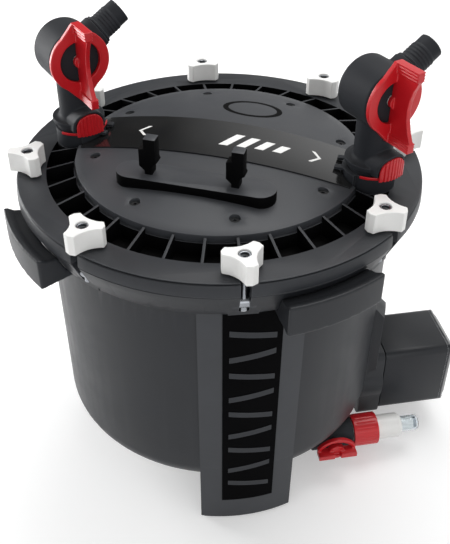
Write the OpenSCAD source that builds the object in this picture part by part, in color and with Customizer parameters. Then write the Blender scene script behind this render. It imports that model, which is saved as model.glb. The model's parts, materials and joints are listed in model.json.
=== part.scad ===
// Canister filter: a round bucket with a bolted lid, two hose valves, a stack of media baskets,
// a pump at the lower side and a purge valve. Millimetres, +Z up, origin on the floor under the
// bucket's axis, front towards -Y, outlet valve towards +X.

/* [Bucket] */
// Height of the bucket's mouth above the floor
mouth_z = 302; // [296:1:320]
// Outer radius of the bucket wall under the rim
wall_r = 157.6; // [156.6:0.1:158.6]
// How far the bucket wall draws in from the rim down to its bottom corner
wall_taper = 1.6; // [0.5:0.1:4]
// Thickness of the bucket wall
wall_t = 4; // [3:0.1:4.5]
// Height of the bucket's underside above the floor
shell_z = 55; // [52:1:57]
// Outer radius of the bottom corner
corner_r = 24; // [18:1:26]

/* [Rim] */
// How far the rim's top edge stands out from the bucket wall
rim_out = 22.4; // [20.4:0.1:25]
// How far the rim's lower edge lies inside its top edge
rim_lean = 12; // [9:0.5:14]
// Height of the rim band
rim_h = 25.5; // [24:0.5:28]
// Thickness of the rim's top plate and skirt
rim_t = 4; // [3:0.1:5]
// Angle that one grip lug spans
lug_span = 26.5; // [20:0.5:30]
// How far a grip lug stands out from the rim
lug_out = 14; // [11:0.5:17]
// Height of a grip lug's outer wall
lug_h = 28.5; // [24:0.5:34]
// Wall thickness of a grip lug
lug_t = 4.5; // [3:0.5:6]

/* [Legs] */
// Angle that one leg spans
leg_span = 33; // [24:1:34]
// How far a leg stands proud of the bucket wall
leg_proud = 2; // [1.5:0.1:3]
// How far a foot's outer edge lies inside the bucket wall
foot_in = 3; // [0:0.2:7]
// Depth of a leg from its outer face inwards, at the floor
leg_depth = 26.6; // [22:0.2:28]
// Thickness of the rubber pad under a foot
pad_h = 3; // [2:0.5:5]
// Angle that the front strip spans
strip_span = 18; // [12:1:22]
// Thickness of the front strip
strip_t = 1.2; // [0.8:0.1:1.6]
// Height of the front strip's lower end
strip_low = 30; // [20:1:60]
// Gap between the front strip's upper end and the rim
strip_rim_gap = 7; // [4:0.5:20]

/* [Lid studs and knobs] */
// How far the circle of studs lies inside the rim's top edge
stud_in = 12; // [11:0.5:13]
// Radius of a stud
stud_r = 3; // [2.5:0.1:3.2]
// Width of the open slot round a stud
slot_w = 8; // [7.5:0.1:9]
// Radius of a barrel nut
barrel_r = 5; // [4.5:0.1:5.5]
// Length of a barrel nut
barrel_l = 18; // [14:0.5:20]
// Height of a knob
knob_h = 18; // [14:0.5:20]
// Reach of a knob's lobe from its centre
knob_reach = 17; // [15:0.5:18]
// Distance from a knob's centre to its hollow sides
knob_waist = 9.5; // [8.5:0.1:10.5]
// Width of a knob's blunt lobe end
lobe_w = 10; // [8:0.5:11]
// Height of the stud's top below the knob's top
stud_sink = 4; // [2:0.5:6]

/* [Lid] */
// Height of the lid's outer flange
flange_h = 13.5; // [11:0.5:15]
// Width of the ring of pockets
pocket_w = 24; // [21:0.5:25]
// Thickness of the pocket floor
pocket_t = 4; // [3:0.5:5]
// Thickness of a pocket rib
rib_t = 2.2; // [1.5:0.1:3]
// Gap between the ring of pockets and the domed cover
cover_inset = 2; // [1.5:0.5:5]
// Rise of the dome from its edge to its middle
dome_rise = 14.5; // [10:0.5:16]
// Height of the cover's upright edge
cover_edge = 6.3; // [5:0.1:8]
// Wall thickness of the domed cover
cover_t = 3.5; // [2.5:0.1:4]
// How far the cover screws lie inside the cover's edge
screw_in = 18; // [14:0.5:28]
// Width of the groove under the flange's top edge
groove_w = 1.2; // [0.6:0.1:2]
// Depth of the groove under the flange's top edge
groove_d = 1.8; // [0.8:0.1:3]
// Chamfer of the lid's and the rim's edges at their seam
seam_chamfer = 0.8; // [0.3:0.1:1.5]
// Half width of the band across the cover
band_half = 31; // [26:0.5:34]
// Thickness of the band
band_t = 1.2; // [0.8:0.1:2]
// Depth of the skirt that the lid seal sits on
skirt_h = 17; // [14:0.5:20]

/* [Hook bracket] */
// Length of the bracket's pad
pad_l = 137; // [120:1:140]
// Width of the bracket's pad
pad_w = 27.5; // [22:0.5:30]
// Distance of the pad from the lid's middle
pad_y = 72; // [66:0.5:74]
// Height of the pad's top over the dome's peak
pad_top = 1; // [0:0.5:3]
// Distance between the two hooks
hook_gap = 74; // [60:1:84]
// Height of a hook above its pad
hook_h = 33; // [26:1:38]
// Thickness of a hook
hook_t = 10; // [8:0.5:12]

/* [Hose valves] */
// Distance from the bucket's inner wall to a valve's axis
port_in = 18.9; // [17.7:0.1:19.9]
// Height of the valve's drum above the lid seam
drum_up = 96.6; // [93:0.1:100]
// Direction of the levers, seen from above
lever_az = -42.5; // [-55:0.5:-25]
// Radius of the drum
drum_r = 26.3; // [25:0.1:27]
// Depth of the drum's straight part
drum_l = 35; // [33:0.5:38]
// Depth of the drum's domed back
drum_dome = 9; // [6:0.5:12]
// Radius of the neck
neck_r = 16.5; // [15.5:0.5:18]
// Radius of the valve's collar
collar_r = 23.5; // [22:0.5:24]
// Radius of the ball
ball_r = 13; // [12.6:0.1:13.2]
// Radius of the water way through a hose nozzle
hose_bore_r = 9; // [7:0.5:9.5]
// Radius of a hose nozzle's plain tip
tip_r = 11; // [10.5:0.1:11.5]
// Radius of a hose nozzle's ribs
barb_r = 11.9; // [11.5:0.1:13]
// Length of a hose nozzle's plain tip beyond its ribs
tip_l = 8.5; // [6:0.5:14]
// Upward tilt of a hose nozzle
nozzle_tilt = 32; // [20:1:40]
// Outer radius of the lever's ring
lever_r = 27; // [25.5:0.1:29]
// Inner radius of the lever's ring
lever_in_r = 18.2; // [16:0.1:20]
// Reach of the lever's grips from its centre
lever_reach = 34.5; // [32:0.5:37]
// Thickness of the lever's ring
lever_t = 4; // [3:0.1:5]
// Height of the lever's fin over its ring
fin_h = 15.7; // [12:0.1:18]
// Radius of the release tab
tab_r = 12.8; // [11:0.1:13.5]

/* [Baskets] */
// Gap between the baskets and the riser tube
riser_gap = 4.6; // [3.6:0.1:10]
// Width of a basket's floor outside its wall
basket_brim = 23; // [20:0.5:32]
// Height of a basket
basket_h = 54; // [48:0.5:54.4]
// Wall thickness of a basket
basket_t = 2.5; // [2:0.1:3]
// Height of the ribs in the bucket that carry the baskets
rest_z = 113; // [112:0.5:114]
// Distance of a lift handle from the middle
handle_x = 60; // [50:1:66]
// Radius of a lift handle's rod
handle_r = 3.5; // [3:0.1:4.5]
// Length of a lift handle's grip bar
handle_bar_l = 46; // [40:1:50]

/* [Pump and motor] */
// Direction of the motor, seen from above
motor_az = 26; // [24:0.5:28]
// Sideways offset of the motor's axis
motor_off = 36; // [34:0.5:37]
// Height of the motor's axis
motor_z = 71; // [69:0.5:71.5]
// Width of the motor box
motor_w = 65; // [60:0.5:67]
// Height of the motor box
motor_h = 80; // [76:0.5:84]
// Length of the motor housing
housing_l = 66; // [64:0.5:74]
// Length of the motor's end cap
cap_l = 8; // [6.5:0.5:12]
// Wall thickness of the motor housing
housing_t = 3; // [2:0.1:3.5]
// Radius of the impeller chamber
well_r = 33; // [31.5:0.5:33.5]
// Wall thickness of the impeller chamber
well_t = 5; // [4:0.1:5]
// Radius of the impeller
impeller_r = 22; // [18:0.5:24]
// Radius of the impeller's magnet
magnet_r = 14.5; // [12:0.5:14.8]
// Radius of the impeller's shaft
shaft_r = 2.5; // [2:0.1:3]
// Outer radius of the riser tube
riser_r = 12; // [11.5:0.1:12.2]

/* [Purge valve] */
// Sideways offset of the purge valve's axis
purge_off = 95; // [92:0.5:98]
// Height of the purge valve's axis
purge_z = 35; // [30:0.5:37]
// Radius of the purge pipe
pipe_r = 12; // [10:0.5:13]
// Radius of the water way through the purge valve
purge_bore_r = 6; // [4:0.5:7]
// Radius of the purge valve's body
purge_body_r = 15; // [14:0.5:16]
// Radius of the purge lock nut
lock_nut_r = 16.5; // [15.5:0.5:17.5]
// Length of the purge lock nut
lock_nut_l = 26; // [20:0.5:28]
// Outer radius of the purge nozzle
purge_nozzle_r = 12.5; // [11:0.5:13]
// Length of the purge nozzle
purge_nozzle_l = 53; // [47:0.5:57]
// Radius of the purge nozzle's hose tail
tail_r = 7; // [6:0.1:7.5]
// Length of the purge nozzle's hose tail
tail_l = 17; // [13:0.5:19]
// Width of the purge knob across its wings
wing_w = 39; // [34:1:42]

/* [Hidden] */

$fn = 96;

// Clearances
gap = 0.3;      // between pieces that move apart
seat = 0.1;     // between fixed pieces that are fitted by hand
running = 0.1;  // radial clearance of a turning fit
cut = 1;        // how far a cutting shape runs past a face

// Directions round the bucket, counted from +X
knob_angles = [for (i = [0:7]) 22.5 + 45 * i];
knob_turns = [30, 86, 116, 0, 76, 14, 66, 113];
lug_angles = [45, 135, 225, 315];
leg_angles = [-64, 56, 176];
rest_angles = [50, 100, 150, 200, 250, 300];
rib_count = 32;

// Bucket
base_r = wall_r - wall_taper;
mouth_r = wall_r - wall_t - seat;
rim_r = wall_r + rim_out;
rim_low_r = rim_r - rim_lean;
rim_low_z = mouth_z - rim_h;
lug_r = rim_r + lug_out;
cheek_r = wall_r + leg_proud + gap;
ridge_angle = 3.4;
ridge_span = 8;
ridge_low = 92;
ridge_top = 178;
ridge_slope = [5, 10];
ridge_proud = 8;

// Legs
foot_r = wall_r - foot_in;
leg_inner_r = foot_r - leg_depth;
floor_z = shell_z + wall_t;
corner_steps = 10;

// Studs, nuts and knobs
stud_circle_r = rim_r - stud_in;
lug_top = mouth_z - 4;
slot_floor = mouth_z - 21;
slot_in_r = stud_circle_r - slot_w / 2 - 0.5;
barrel_z = mouth_z - 13;
flange_top = mouth_z + flange_h;
groove_top = 0.4;
knob_z = flange_top + 1.5;
knob_top = knob_z + knob_h;
stud_low = barrel_z - barrel_r - 3;
stud_top = knob_top - stud_sink;
boss_w = barrel_l + 6;
knob_recess_r = 5.2;
knob_recess = 4;
hex_r = 1.7;

// Lid
pocket_r = mouth_r + 0.5;
pocket_in_r = pocket_r - pocket_w;
cover_r = pocket_in_r - cover_inset;
screw_circle_r = cover_r - screw_in;
port_r = mouth_r - port_in;
pocket_floor = mouth_z + 1;
plate_top = flange_top + 0.5;
plate_t = 7;
skirt_r = mouth_r - 2.5;
skirt_t = 8;
seal_r = 1.95;
seal_z = mouth_z - 8;
seal_groove_r = mouth_r - seat - 2 * seal_r - seat;
cover_z = plate_top + seat;
edge_top = cover_z + cover_edge;
dome_top = edge_top + dome_rise;
dome_steps = 16;
screw_r = 2;
screw_head_r = 4.2;
screw_head_h = 2.6;
screw_sink = 2.2;
screw_boss_r = 7;
port_boss_r = 22;
port_bore_r = 13;
port_cut_r = 25;
port_wall = 3;
port_ring_h = 15.5;
port_ring_top = plate_top + port_ring_h;
port_ring_in = 3.5;
port_lip = [13, 5, 2.4];
port_lip_y = 8;
band_end_r = cover_r - 3;

// Valves
drum_z = mouth_z + drum_up;
drum_front = 15;
spigot_r = port_bore_r - 0.4;
port_side = 62;
spigot_low = mouth_z + 4;
base_low = port_ring_top + gap;
base_r_valve = 20;
collar_low = base_low + 5.7;
collar_top = collar_low + 4;
collar_fillet = 4;
socket_r = tip_r + 3.5;
socket_l = 31;
root_l = 20;
root_r = tip_r - 0.5;
barb_gap = 0.7;
barb_count = 5;
barb_pitch = 3;
core_l = socket_l + 3 + barb_count * barb_pitch;
stem_r = 5;
drive_w = 6;
hub_r = 5.5;
drive_skin = 1.5;
lever_back = drum_front + gap;
lever_face = lever_back + lever_t;
fin_t = 4;
grip_t = 7.5;
grip_l = 8;
fin_flare = 8;
tab_z = base_low + 7.8;
tab_low = port_ring_top + 2 * gap;
tab_back = 24.8;
tab_face = 29;
tab_travel = 2.5;
hood_t = 2.2;
hood_front = 28.2;
hood_low = base_low + 4.2;
strip_r = 24.4;
red_strip_t = 1.2;
red_strip_h = 2.4;
red_strip_angle = 62;

// Baskets
basket_r = port_r - riser_r - riser_gap;
basket_in_r = basket_r - basket_brim;
handle_foot_r = 8;
handle_foot_h = 4;
handle_bar_w = 9;
handle_bar_h = 7;
stack_gap = 0.4;
basket_pitch = basket_h + stack_gap;
basket_z = [for (i = [0:2]) rest_z + gap + i * basket_pitch];
stack_top = basket_z[2] + basket_h;
basket_cover_z = stack_top + stack_gap;
basket_cover_t = 2.5;
handle_hole_r = handle_r + 1;
handle_bar_z = basket_cover_z + basket_cover_t + 3;
rest_under = 10;
rest_in_r = basket_r - rest_under;
rest_t = 3;
media_h = 44;
window_count = 12;
window_w = 14;
grid_slots = 12;

// Pump: places along the motor's axis, counted from the bucket's axis
well_in = 96;
well_out = 158;
cover_plate_t = 4;
wheel_x = 114;
wheel_l = 15;
magnet_x = 150;
magnet_l = 55;
can_flange_x = 140;
can_flange_t = 6;
can_r = 18;
can_t = 2;
can_end = 218;
bush_r = 5;
bush_l = 6;
gasket_t = 2;
housing_x = well_out + gasket_t + 2 * seat;
cap_x = housing_x + housing_l + seat;
motor_end = cap_x + cap_l;
motor_round = 8;
riser_wall = 2;
riser_seat_z = motor_z + 37;
riser_top = mouth_z + 2;
riser_seat_l = 14;
socket_wall = 3.5;
plinth_l = 22;
stator_x = 10;
stator_l = 36;
stator_in = [20, 14];
coil_in = 15;
coil_over = 5;
coil_box = [8, 30];
gland_x = 40;
gland_z = -12;
gland_r = 6;

// Purge valve: places along its own axis
purge_drain_x = 45;
purge_body_x = 78;
purge_body_l = 42;
purge_ball_r = 10.5;
purge_seal_t = 0.8;
purge_nozzle_x = purge_body_x + purge_body_l + purge_seal_t + 2 * seat;
purge_stem_r = 4.5;
purge_boss_l = 20;
purge_stem_x = purge_body_x + purge_body_l / 2;
wing_l = 11.5;
wing_t = 5.5;
wing_slot = 6.4;
bow_r = 22.2;
bow_h = 16.5;
bow_t = 3.6;
cap_wall = 1.2;

function arc(cx, cy, r, a0, a1, n) =
    [for (i = [0:n]) [cx + r * cos(a0 + (a1 - a0) * i / n), cy + r * sin(a0 + (a1 - a0) * i / n)]];
function rim_at(z) = rim_low_r + (rim_r - rim_low_r) * (z - rim_low_z) / rim_h;
function dome_at(r) = dome_top - dome_rise * pow(r / cover_r, 2);
function bucket_side(off) = concat(
    arc(base_r - corner_r, shell_z + corner_r, corner_r - off, -90, 0, corner_steps),
    [[wall_r - off, rim_low_z - 2 * rim_t]]
);
function leg_at(z) = foot_r + (wall_r + leg_proud - foot_r) * z / rim_low_z;

// A point on a circle about the bucket's axis
module at(angle, r = 0) rotate([0, 0, angle]) translate([r, 0, 0]) children();
// A solid of revolution that only fills one sector
module sector(angle, span) rotate([0, 0, angle - span / 2]) rotate_extrude(angle = span) children();
// The frame of the pump and motor: +Z runs out along the shaft
module pump_frame(x = 0) rotate([0, 0, motor_az]) translate([x, -motor_off, motor_z]) rotate([0, 90, 0]) children();
// The frame of the purge valve
module purge_frame(x = 0) rotate([0, 0, motor_az]) translate([x, -purge_off, purge_z]) rotate([0, 90, 0]) children();
// The frame of a hose valve: +X runs out through the lever
module valve_frame(side) translate([side * port_r, 0, 0]) rotate([0, 0, lever_az]) children();
// The frame of a hose nozzle: +Z runs out through its mouth
module nozzle_frame(side) valve_frame(side) translate([0, 0, drum_z]) rotate([nozzle_tilt - 90, 0, 0]) children();
// The frame of the purge valve's stem: +Z runs out through the knob, +Y is up
module stem_frame() rotate([0, 0, motor_az]) translate([purge_stem_x, -purge_off, purge_z]) rotate([90, 0, 0]) children();
module tube(r, bore, h) difference() {
    cylinder(r = r, h = h);
    translate([0, 0, -cut]) cylinder(r = bore, h = h + 2 * cut);
}
module stadium(l, w) {
    square([l - w, w], center = true);
    for (s = [-1, 1]) translate([s * (l - w) / 2, 0]) circle(d = w);
}
module round_box(w, h, r) polygon([
    for (q = [[1, 1, 0], [-1, 1, 90], [-1, -1, 180], [1, -1, 270]])
        each arc(q[0] * (w / 2 - r), q[1] * (h / 2 - r), r, q[2], q[2] + 90, 4)
]);

// ---- Bucket ----

module bucket_section() polygon(concat(
    [[0, shell_z]],
    bucket_side(0),
    [
        [wall_r, mouth_z - rim_t], [rim_at(mouth_z - rim_t) - rim_t, mouth_z - rim_t],
        [rim_low_r - rim_t, rim_low_z], [rim_low_r, rim_low_z], [rim_at(mouth_z - seam_chamfer), mouth_z - seam_chamfer],
        [rim_r - seam_chamfer, mouth_z], [mouth_r, mouth_z],
        [mouth_r, rim_low_z - 2 * rim_t]
    ],
    [for (i = [corner_steps:-1:0]) bucket_side(wall_t)[i]],
    [[0, floor_z]]
));
module motor_plinth() pump_frame(well_out - plinth_l) linear_extrude(plinth_l) round_box(motor_h + 4, motor_w + 5, motor_round);
module bucket_inside() translate([0, 0, floor_z]) rotate_extrude() translate([0, -floor_z]) polygon(concat(
    [[0, floor_z]], bucket_side(wall_t), [[0, rim_low_z - 2 * rim_t]]
));
module canister_shell() color("#3a3c3f") difference() {
    union() {
        rotate_extrude() bucket_section();
        difference() {
            motor_plinth();
            bucket_inside();
        }
        pump_frame(well_in) cylinder(r = well_r + well_t, h = well_out - well_in);
        translate([port_r, 0, motor_z]) cylinder(r = riser_r + socket_wall, h = riser_seat_z + riser_seat_l - motor_z);
        for (a = knob_angles) stud_boss(a);
        basket_rests();
        sector(ridge_angle, ridge_span) polygon([
            [wall_r - wall_t / 2, ridge_low], [wall_r + ridge_proud, ridge_low + ridge_slope[0]],
            [wall_r + ridge_proud, ridge_top - ridge_slope[1]], [wall_r - wall_t / 2, ridge_top]
        ]);
    }
    pump_frame(well_in - cut) cylinder(r = well_r, h = well_out - well_in + 2 * cut);
    translate([port_r, 0, motor_z]) cylinder(r = riser_r - riser_wall, h = riser_seat_z);
    translate([port_r, 0, riser_seat_z]) cylinder(r = riser_r + seat, h = riser_seat_l + cut);
    for (a = knob_angles) stud_slot(a, slot_floor);
    for (a = knob_angles) barrel_pocket(a);
    rotate([0, 0, motor_az]) translate([purge_drain_x, -purge_off, shell_z - cut])
        cylinder(r = purge_bore_r, h = wall_t + 2 * cut);
}
module stud_boss(a) difference() {
    at(a) translate([wall_r - wall_t / 2, -boss_w / 2, rim_low_z])
        cube([rim_low_r + 3 - wall_r, boss_w, rim_h - rim_t / 2]);
    translate([0, 0, rim_low_z - cut]) cylinder(r = wall_r - wall_t / 2, h = rim_h);
}
module stud_slot(a, z) at(a, slot_in_r) translate([0, -slot_w / 2, z])
    cube([rim_r - slot_in_r + 10, slot_w, flange_top - z + 10]);
module barrel_pocket(a) at(a, stud_circle_r) translate([0, 0, barrel_z]) rotate([90, 0, 0])
    cylinder(r = barrel_r + seat, h = barrel_l + 2 * seat, center = true);
module basket_rests() intersection() {
    for (a = rest_angles) at(a, rest_in_r) translate([0, -rest_t / 2, shell_z + wall_t / 2])
        cube([wall_r - rest_in_r, rest_t, rest_z - shell_z - wall_t / 2]);
    rotate_extrude() polygon(concat([[0, shell_z]], bucket_side(wall_t / 2), [[0, rim_low_z]]));
}

module lug_hook() polygon(concat(
    [[lug_r - lug_t, lug_top - lug_h], [lug_r, lug_top - lug_h], [lug_r, lug_top]],
    [[lug_r - 4, lug_top - 1], [lug_r - 9, lug_top - 3.5], [rim_at(lug_top - 5) + seat, lug_top - 5]],
    [[rim_at(lug_top - 5 - lug_t) + seat, lug_top - 5 - lug_t], [lug_r - lug_t, lug_top - 5 - lug_t]]
));
module lug_cheek() polygon([
    [cheek_r, rim_low_z - seat], [cheek_r, rim_low_z - 4], [cheek_r + 3, lug_top - lug_h],
    [lug_r, lug_top - lug_h], [lug_r, lug_top], [lug_r - 4, lug_top - 1], [lug_r - 9, lug_top - 3.5],
    [rim_at(lug_top - 5) + seat, lug_top - 5], [rim_low_r + seat, rim_low_z - seat]
]);
module grip_lugs() color("#3a3c3f") for (a = lug_angles) {
    cheek = atan(lug_t / lug_r);
    sector(a, lug_span) lug_hook();
    for (s = [-1, 1]) sector(a + s * (lug_span - cheek) / 2, cheek) lug_cheek();
}

module leg_section() {
    side = [for (p = bucket_side(-seat)) if (p[0] > leg_inner_r) p];
    polygon(concat(
        [[leg_inner_r, pad_h], [leg_at(pad_h), pad_h], [leg_at(rim_low_z - 1), rim_low_z - 1]],
        [[wall_r + seat, rim_low_z - 1], [wall_r + seat, rim_low_z - 2 * rim_t]],
        [for (i = [len(side) - 2:-1:0]) side[i]],
        [[leg_inner_r, shell_z - seat]]
    ));
}
module leg_columns() color("#38393c") for (a = leg_angles) sector(a, leg_span) leg_section();
module foot_pads() color("#1b1b1c") for (a = leg_angles) sector(a, leg_span - 2) polygon([
    [leg_inner_r + 2, 0], [foot_r - 1.5, 0], [foot_r - 1.5, pad_h], [leg_inner_r + 2, pad_h]
]);
module front_strip() color("#141415") sector(leg_angles[0], strip_span) polygon([
    [leg_at(strip_low) + seat, strip_low], [leg_at(strip_low) + strip_t, strip_low],
    [leg_at(rim_low_z - strip_rim_gap) + strip_t, rim_low_z - strip_rim_gap],
    [leg_at(rim_low_z - strip_rim_gap) + seat, rim_low_z - strip_rim_gap]
]);

// ---- Studs, nuts and knobs ----

module barrel_nuts() color("#b9bcc0") for (a = knob_angles) at(a, stud_circle_r) difference() {
    translate([0, 0, barrel_z]) rotate([90, 0, 0]) cylinder(r = barrel_r, h = barrel_l, center = true);
    translate([0, 0, barrel_z - barrel_r - cut]) cylinder(r = stud_r + seat / 2, h = 2 * (barrel_r + cut));
}
module lid_studs() color("#c4c6c9") for (a = knob_angles) at(a, stud_circle_r) difference() {
    translate([0, 0, stud_low]) cylinder(r = stud_r, h = stud_top - stud_low);
    translate([0, 0, stud_top - 3]) cylinder(r = hex_r, h = 3 + cut, $fn = 6);
}
module knob_outline() {
    half = asin(lobe_w / 2 / knob_reach);
    chord = knob_reach * sin(60 - half);
    sag = knob_reach * cos(60 - half) - knob_waist;
    hollow_r = (chord * chord + sag * sag) / (2 * sag);
    sweep = asin(chord / hollow_r);
    polygon([
        for (k = [0:2]) each [
            [knob_reach * cos(120 * k - half), knob_reach * sin(120 * k - half)],
            [(knob_reach + 0.8) * cos(120 * k), (knob_reach + 0.8) * sin(120 * k)],
            [knob_reach * cos(120 * k + half), knob_reach * sin(120 * k + half)],
            each arc(
                (knob_waist + hollow_r) * cos(120 * k + 60), (knob_waist + hollow_r) * sin(120 * k + 60),
                hollow_r, 120 * k + 240 + sweep * 0.8, 120 * k + 240 - sweep * 0.8, 8
            )
        ]
    ]);
}
module knob(i) color("#f2f2ee") at(knob_angles[i], stud_circle_r) translate([0, 0, knob_z]) difference() {
    union() {
        rotate([0, 0, knob_turns[i] - knob_angles[i]]) linear_extrude(knob_h) knob_outline();
        translate([0, 0, flange_top + gap - knob_z]) cylinder(r = knob_waist - 2, h = knob_z - flange_top);
    }
    translate([0, 0, flange_top - knob_z]) cylinder(r = stud_r + running, h = knob_h + knob_z - flange_top + cut);
    translate([0, 0, knob_h - knob_recess]) cylinder(r = knob_recess_r, h = knob_recess + cut);
}

// ---- Lid ----

module lid_section() polygon([
    [0, plate_top - plate_t], [pocket_in_r - 6, plate_top - plate_t], [pocket_in_r - 2, pocket_floor - pocket_t],
    [skirt_r - skirt_t, pocket_floor - pocket_t], [skirt_r - skirt_t, mouth_z - skirt_h],
    [skirt_r, mouth_z - skirt_h], [skirt_r, seal_z - seal_r - 0.2], [seal_groove_r, seal_z - seal_r - 0.2],
    [seal_groove_r, seal_z + seal_r + 0.2], [skirt_r, seal_z + seal_r + 0.2], [skirt_r, mouth_z + gap],
    [rim_r + 0.6 - seam_chamfer, mouth_z + gap], [rim_r + 0.6, mouth_z + gap + seam_chamfer],
    [rim_r + 0.3, mouth_z + 6], [rim_r - 0.2, flange_top - groove_top - groove_w - 0.6],
    [rim_r - 0.8, flange_top - groove_top - groove_w], [rim_r - 0.8 - groove_d, flange_top - groove_top - groove_w],
    [rim_r - 0.8 - groove_d, flange_top - groove_top], [rim_r - 0.8, flange_top - groove_top],
    [rim_r - 1.1, flange_top], [pocket_r, flange_top], [pocket_r, pocket_floor],
    [pocket_in_r, pocket_floor], [pocket_in_r, plate_top], [0, plate_top]
]);
module lid_rib(a) at(a) rotate([90, 0, 0]) linear_extrude(rib_t, center = true) polygon([
    [pocket_in_r - 0.6, pocket_floor - 0.5], [pocket_r + 0.5, pocket_floor - 0.5],
    [pocket_r + 0.5, flange_top - 0.2], [pocket_in_r - 0.6, edge_top - 1.2]
]);
module lid_shell() color("#3a3c3f") difference() {
    union() {
        rotate_extrude() lid_section();
        for (i = [0:rib_count - 1]) lid_rib(i * 360 / rib_count);
        for (s = [-1, 1]) {
            translate([s * port_r, 0, pocket_floor - 1]) cylinder(r = port_boss_r, h = plate_top - pocket_floor + 1);
            intersection() {
                translate([s * port_r, 0, mouth_z - skirt_h]) cylinder(r = port_bore_r + port_wall, h = skirt_h);
                translate([0, 0, mouth_z - skirt_h - cut]) cylinder(r = seal_groove_r, h = skirt_h + 2 * cut);
            }
        }
    }
    for (s = [-1, 1]) {
        translate([s * port_r, 0, mouth_z - skirt_h - cut]) cylinder(r = port_bore_r, h = 60);
        translate([s * port_r, 0, plate_top]) cylinder(r = port_cut_r + 1.5, h = 20);
    }
    for (a = knob_angles) stud_slot(a, mouth_z - cut);
    for (a = knob_angles) at(a, screw_circle_r) translate([0, 0, plate_top - 6]) cylinder(r = screw_r + seat, h = 6 + cut);
}
module dome_solid(lift) rotate_extrude() polygon(concat(
    [[0, cover_z - 10], [cover_r, cover_z - 10]],
    [for (i = [dome_steps:-1:0]) [cover_r * i / dome_steps, dome_at(cover_r * i / dome_steps) + lift]]
));
module lid_cover() {
    inner_r = cover_r - cover_t;
    color("#45474a") difference() {
        union() {
            rotate_extrude() polygon(concat(
                [[inner_r, cover_z], [cover_r, cover_z]],
                [for (i = [dome_steps:-1:0]) [cover_r * i / dome_steps, dome_at(cover_r * i / dome_steps)]],
                [for (i = [0:dome_steps]) [inner_r * i / dome_steps, dome_at(cover_r * i / dome_steps) - cover_t]]
            ));
            intersection() {
                union() {
                    for (a = knob_angles) at(a, screw_circle_r) translate([0, 0, cover_z]) cylinder(r = screw_boss_r, h = 30);
                }
                dome_solid(-cover_t / 2);
            }
        }
        for (a = knob_angles) at(a, screw_circle_r) {
            translate([0, 0, cover_z - cut]) cylinder(r = screw_r + seat, h = 30);
            translate([0, 0, dome_at(screw_circle_r) - screw_sink - screw_head_h]) cylinder(r = screw_head_r + 0.4, h = 20);
        }
        for (s = [-1, 1]) translate([s * port_r, 0, cover_z - cut]) cylinder(r = port_cut_r, h = 30);
    }
}
module lid_band() color("#1a1a1c") difference() {
    intersection() {
        rotate_extrude() polygon(concat(
            [for (i = [0:dome_steps]) [cover_r * i / dome_steps, dome_at(cover_r * i / dome_steps) + seat]],
            [for (i = [dome_steps:-1:0]) [cover_r * i / dome_steps, dome_at(cover_r * i / dome_steps) + band_t]]
        ));
        translate([0, 0, cover_z]) linear_extrude(40) polygon(concat(
            [for (i = [-6:6]) [band_end_r * i / 6, band_half - 2.5 * pow(i / 6, 2)]],
            [for (i = [6:-1:-6]) [band_end_r * i / 6, -band_half + 2.5 * pow(i / 6, 2)]]
        ));
        cylinder(r = band_end_r, h = 2 * mouth_z);
    }
    for (s = [-1, 1]) translate([s * port_r, 0, cover_z]) cylinder(r = port_cut_r + 1, h = 40);
}
module cover_screws() color("#2a2b2d") for (a = knob_angles) at(a, screw_circle_r) {
    head_z = dome_at(screw_circle_r) - screw_sink - screw_head_h + seat;
    difference() {
        union() {
            translate([0, 0, head_z]) cylinder(r = screw_head_r, h = screw_head_h);
            translate([0, 0, plate_top - 5.5]) cylinder(r = screw_r, h = head_z - plate_top + 5.6);
        }
        translate([0, 0, head_z + screw_head_h - 1.2]) cylinder(r = hex_r, h = 2, $fn = 6);
    }
}
module hook(x) {
    low = dome_top + pad_top - 0.5;
    half = hook_t / 2;
    translate([x, -pad_y, 0]) rotate([90, 0, 0]) linear_extrude(hook_t, center = true) polygon(concat(
        [[-half, low], [half - 3.5, low], [half - 3.5, low + 5]],
        arc(half + 4.5, low + 5, 8, 180, 115, 5),
        [
            [half, low + 15], [half, low + hook_h], [-half, low + hook_h], [-half, low + 24],
            [-half - 4.5, low + 23], [-half - 4.5, low + 8], [-half, low + 4]
        ]
    ));
}
module hook_bracket() color("#37393c") union() {
    difference() {
        translate([0, -pad_y, cover_z + 4]) linear_extrude(dome_top + pad_top - cover_z - 4) stadium(pad_l, pad_w);
        dome_solid(seat);
    }
    for (s = [-1, 1]) hook(s * hook_gap / 2);
}
module lid_seal() color("#111112") translate([0, 0, seal_z]) rotate_extrude()
    translate([mouth_r - seat - seal_r, 0]) circle(r = seal_r, $fn = 24);
module port(side) color("#4a4c4f") translate([side * port_r, 0, 0]) difference() {
    union() {
        translate([0, 0, plate_top + seat]) cylinder(r = port_cut_r - port_ring_in, h = port_ring_top - plate_top - seat);
        translate([0, 0, plate_top + seat]) rotate([0, 0, side > 0 ? 180 - port_side : -port_side]) rotate_extrude(angle = 2 * port_side)
            translate([port_bore_r + 2, 0]) square([port_cut_r - 2.5 - port_bore_r, port_ring_top - plate_top - seat]);
        for (s = [-1, 1]) translate([-side * (port_cut_r - port_ring_in + 2), s * port_lip_y, port_ring_top - port_lip[2] / 2])
            cube(port_lip, center = true);
    }
    translate([0, 0, plate_top - cut]) cylinder(r = port_bore_r, h = port_ring_top - plate_top + 2 * cut);
}

// ---- Hose valves ----

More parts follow.
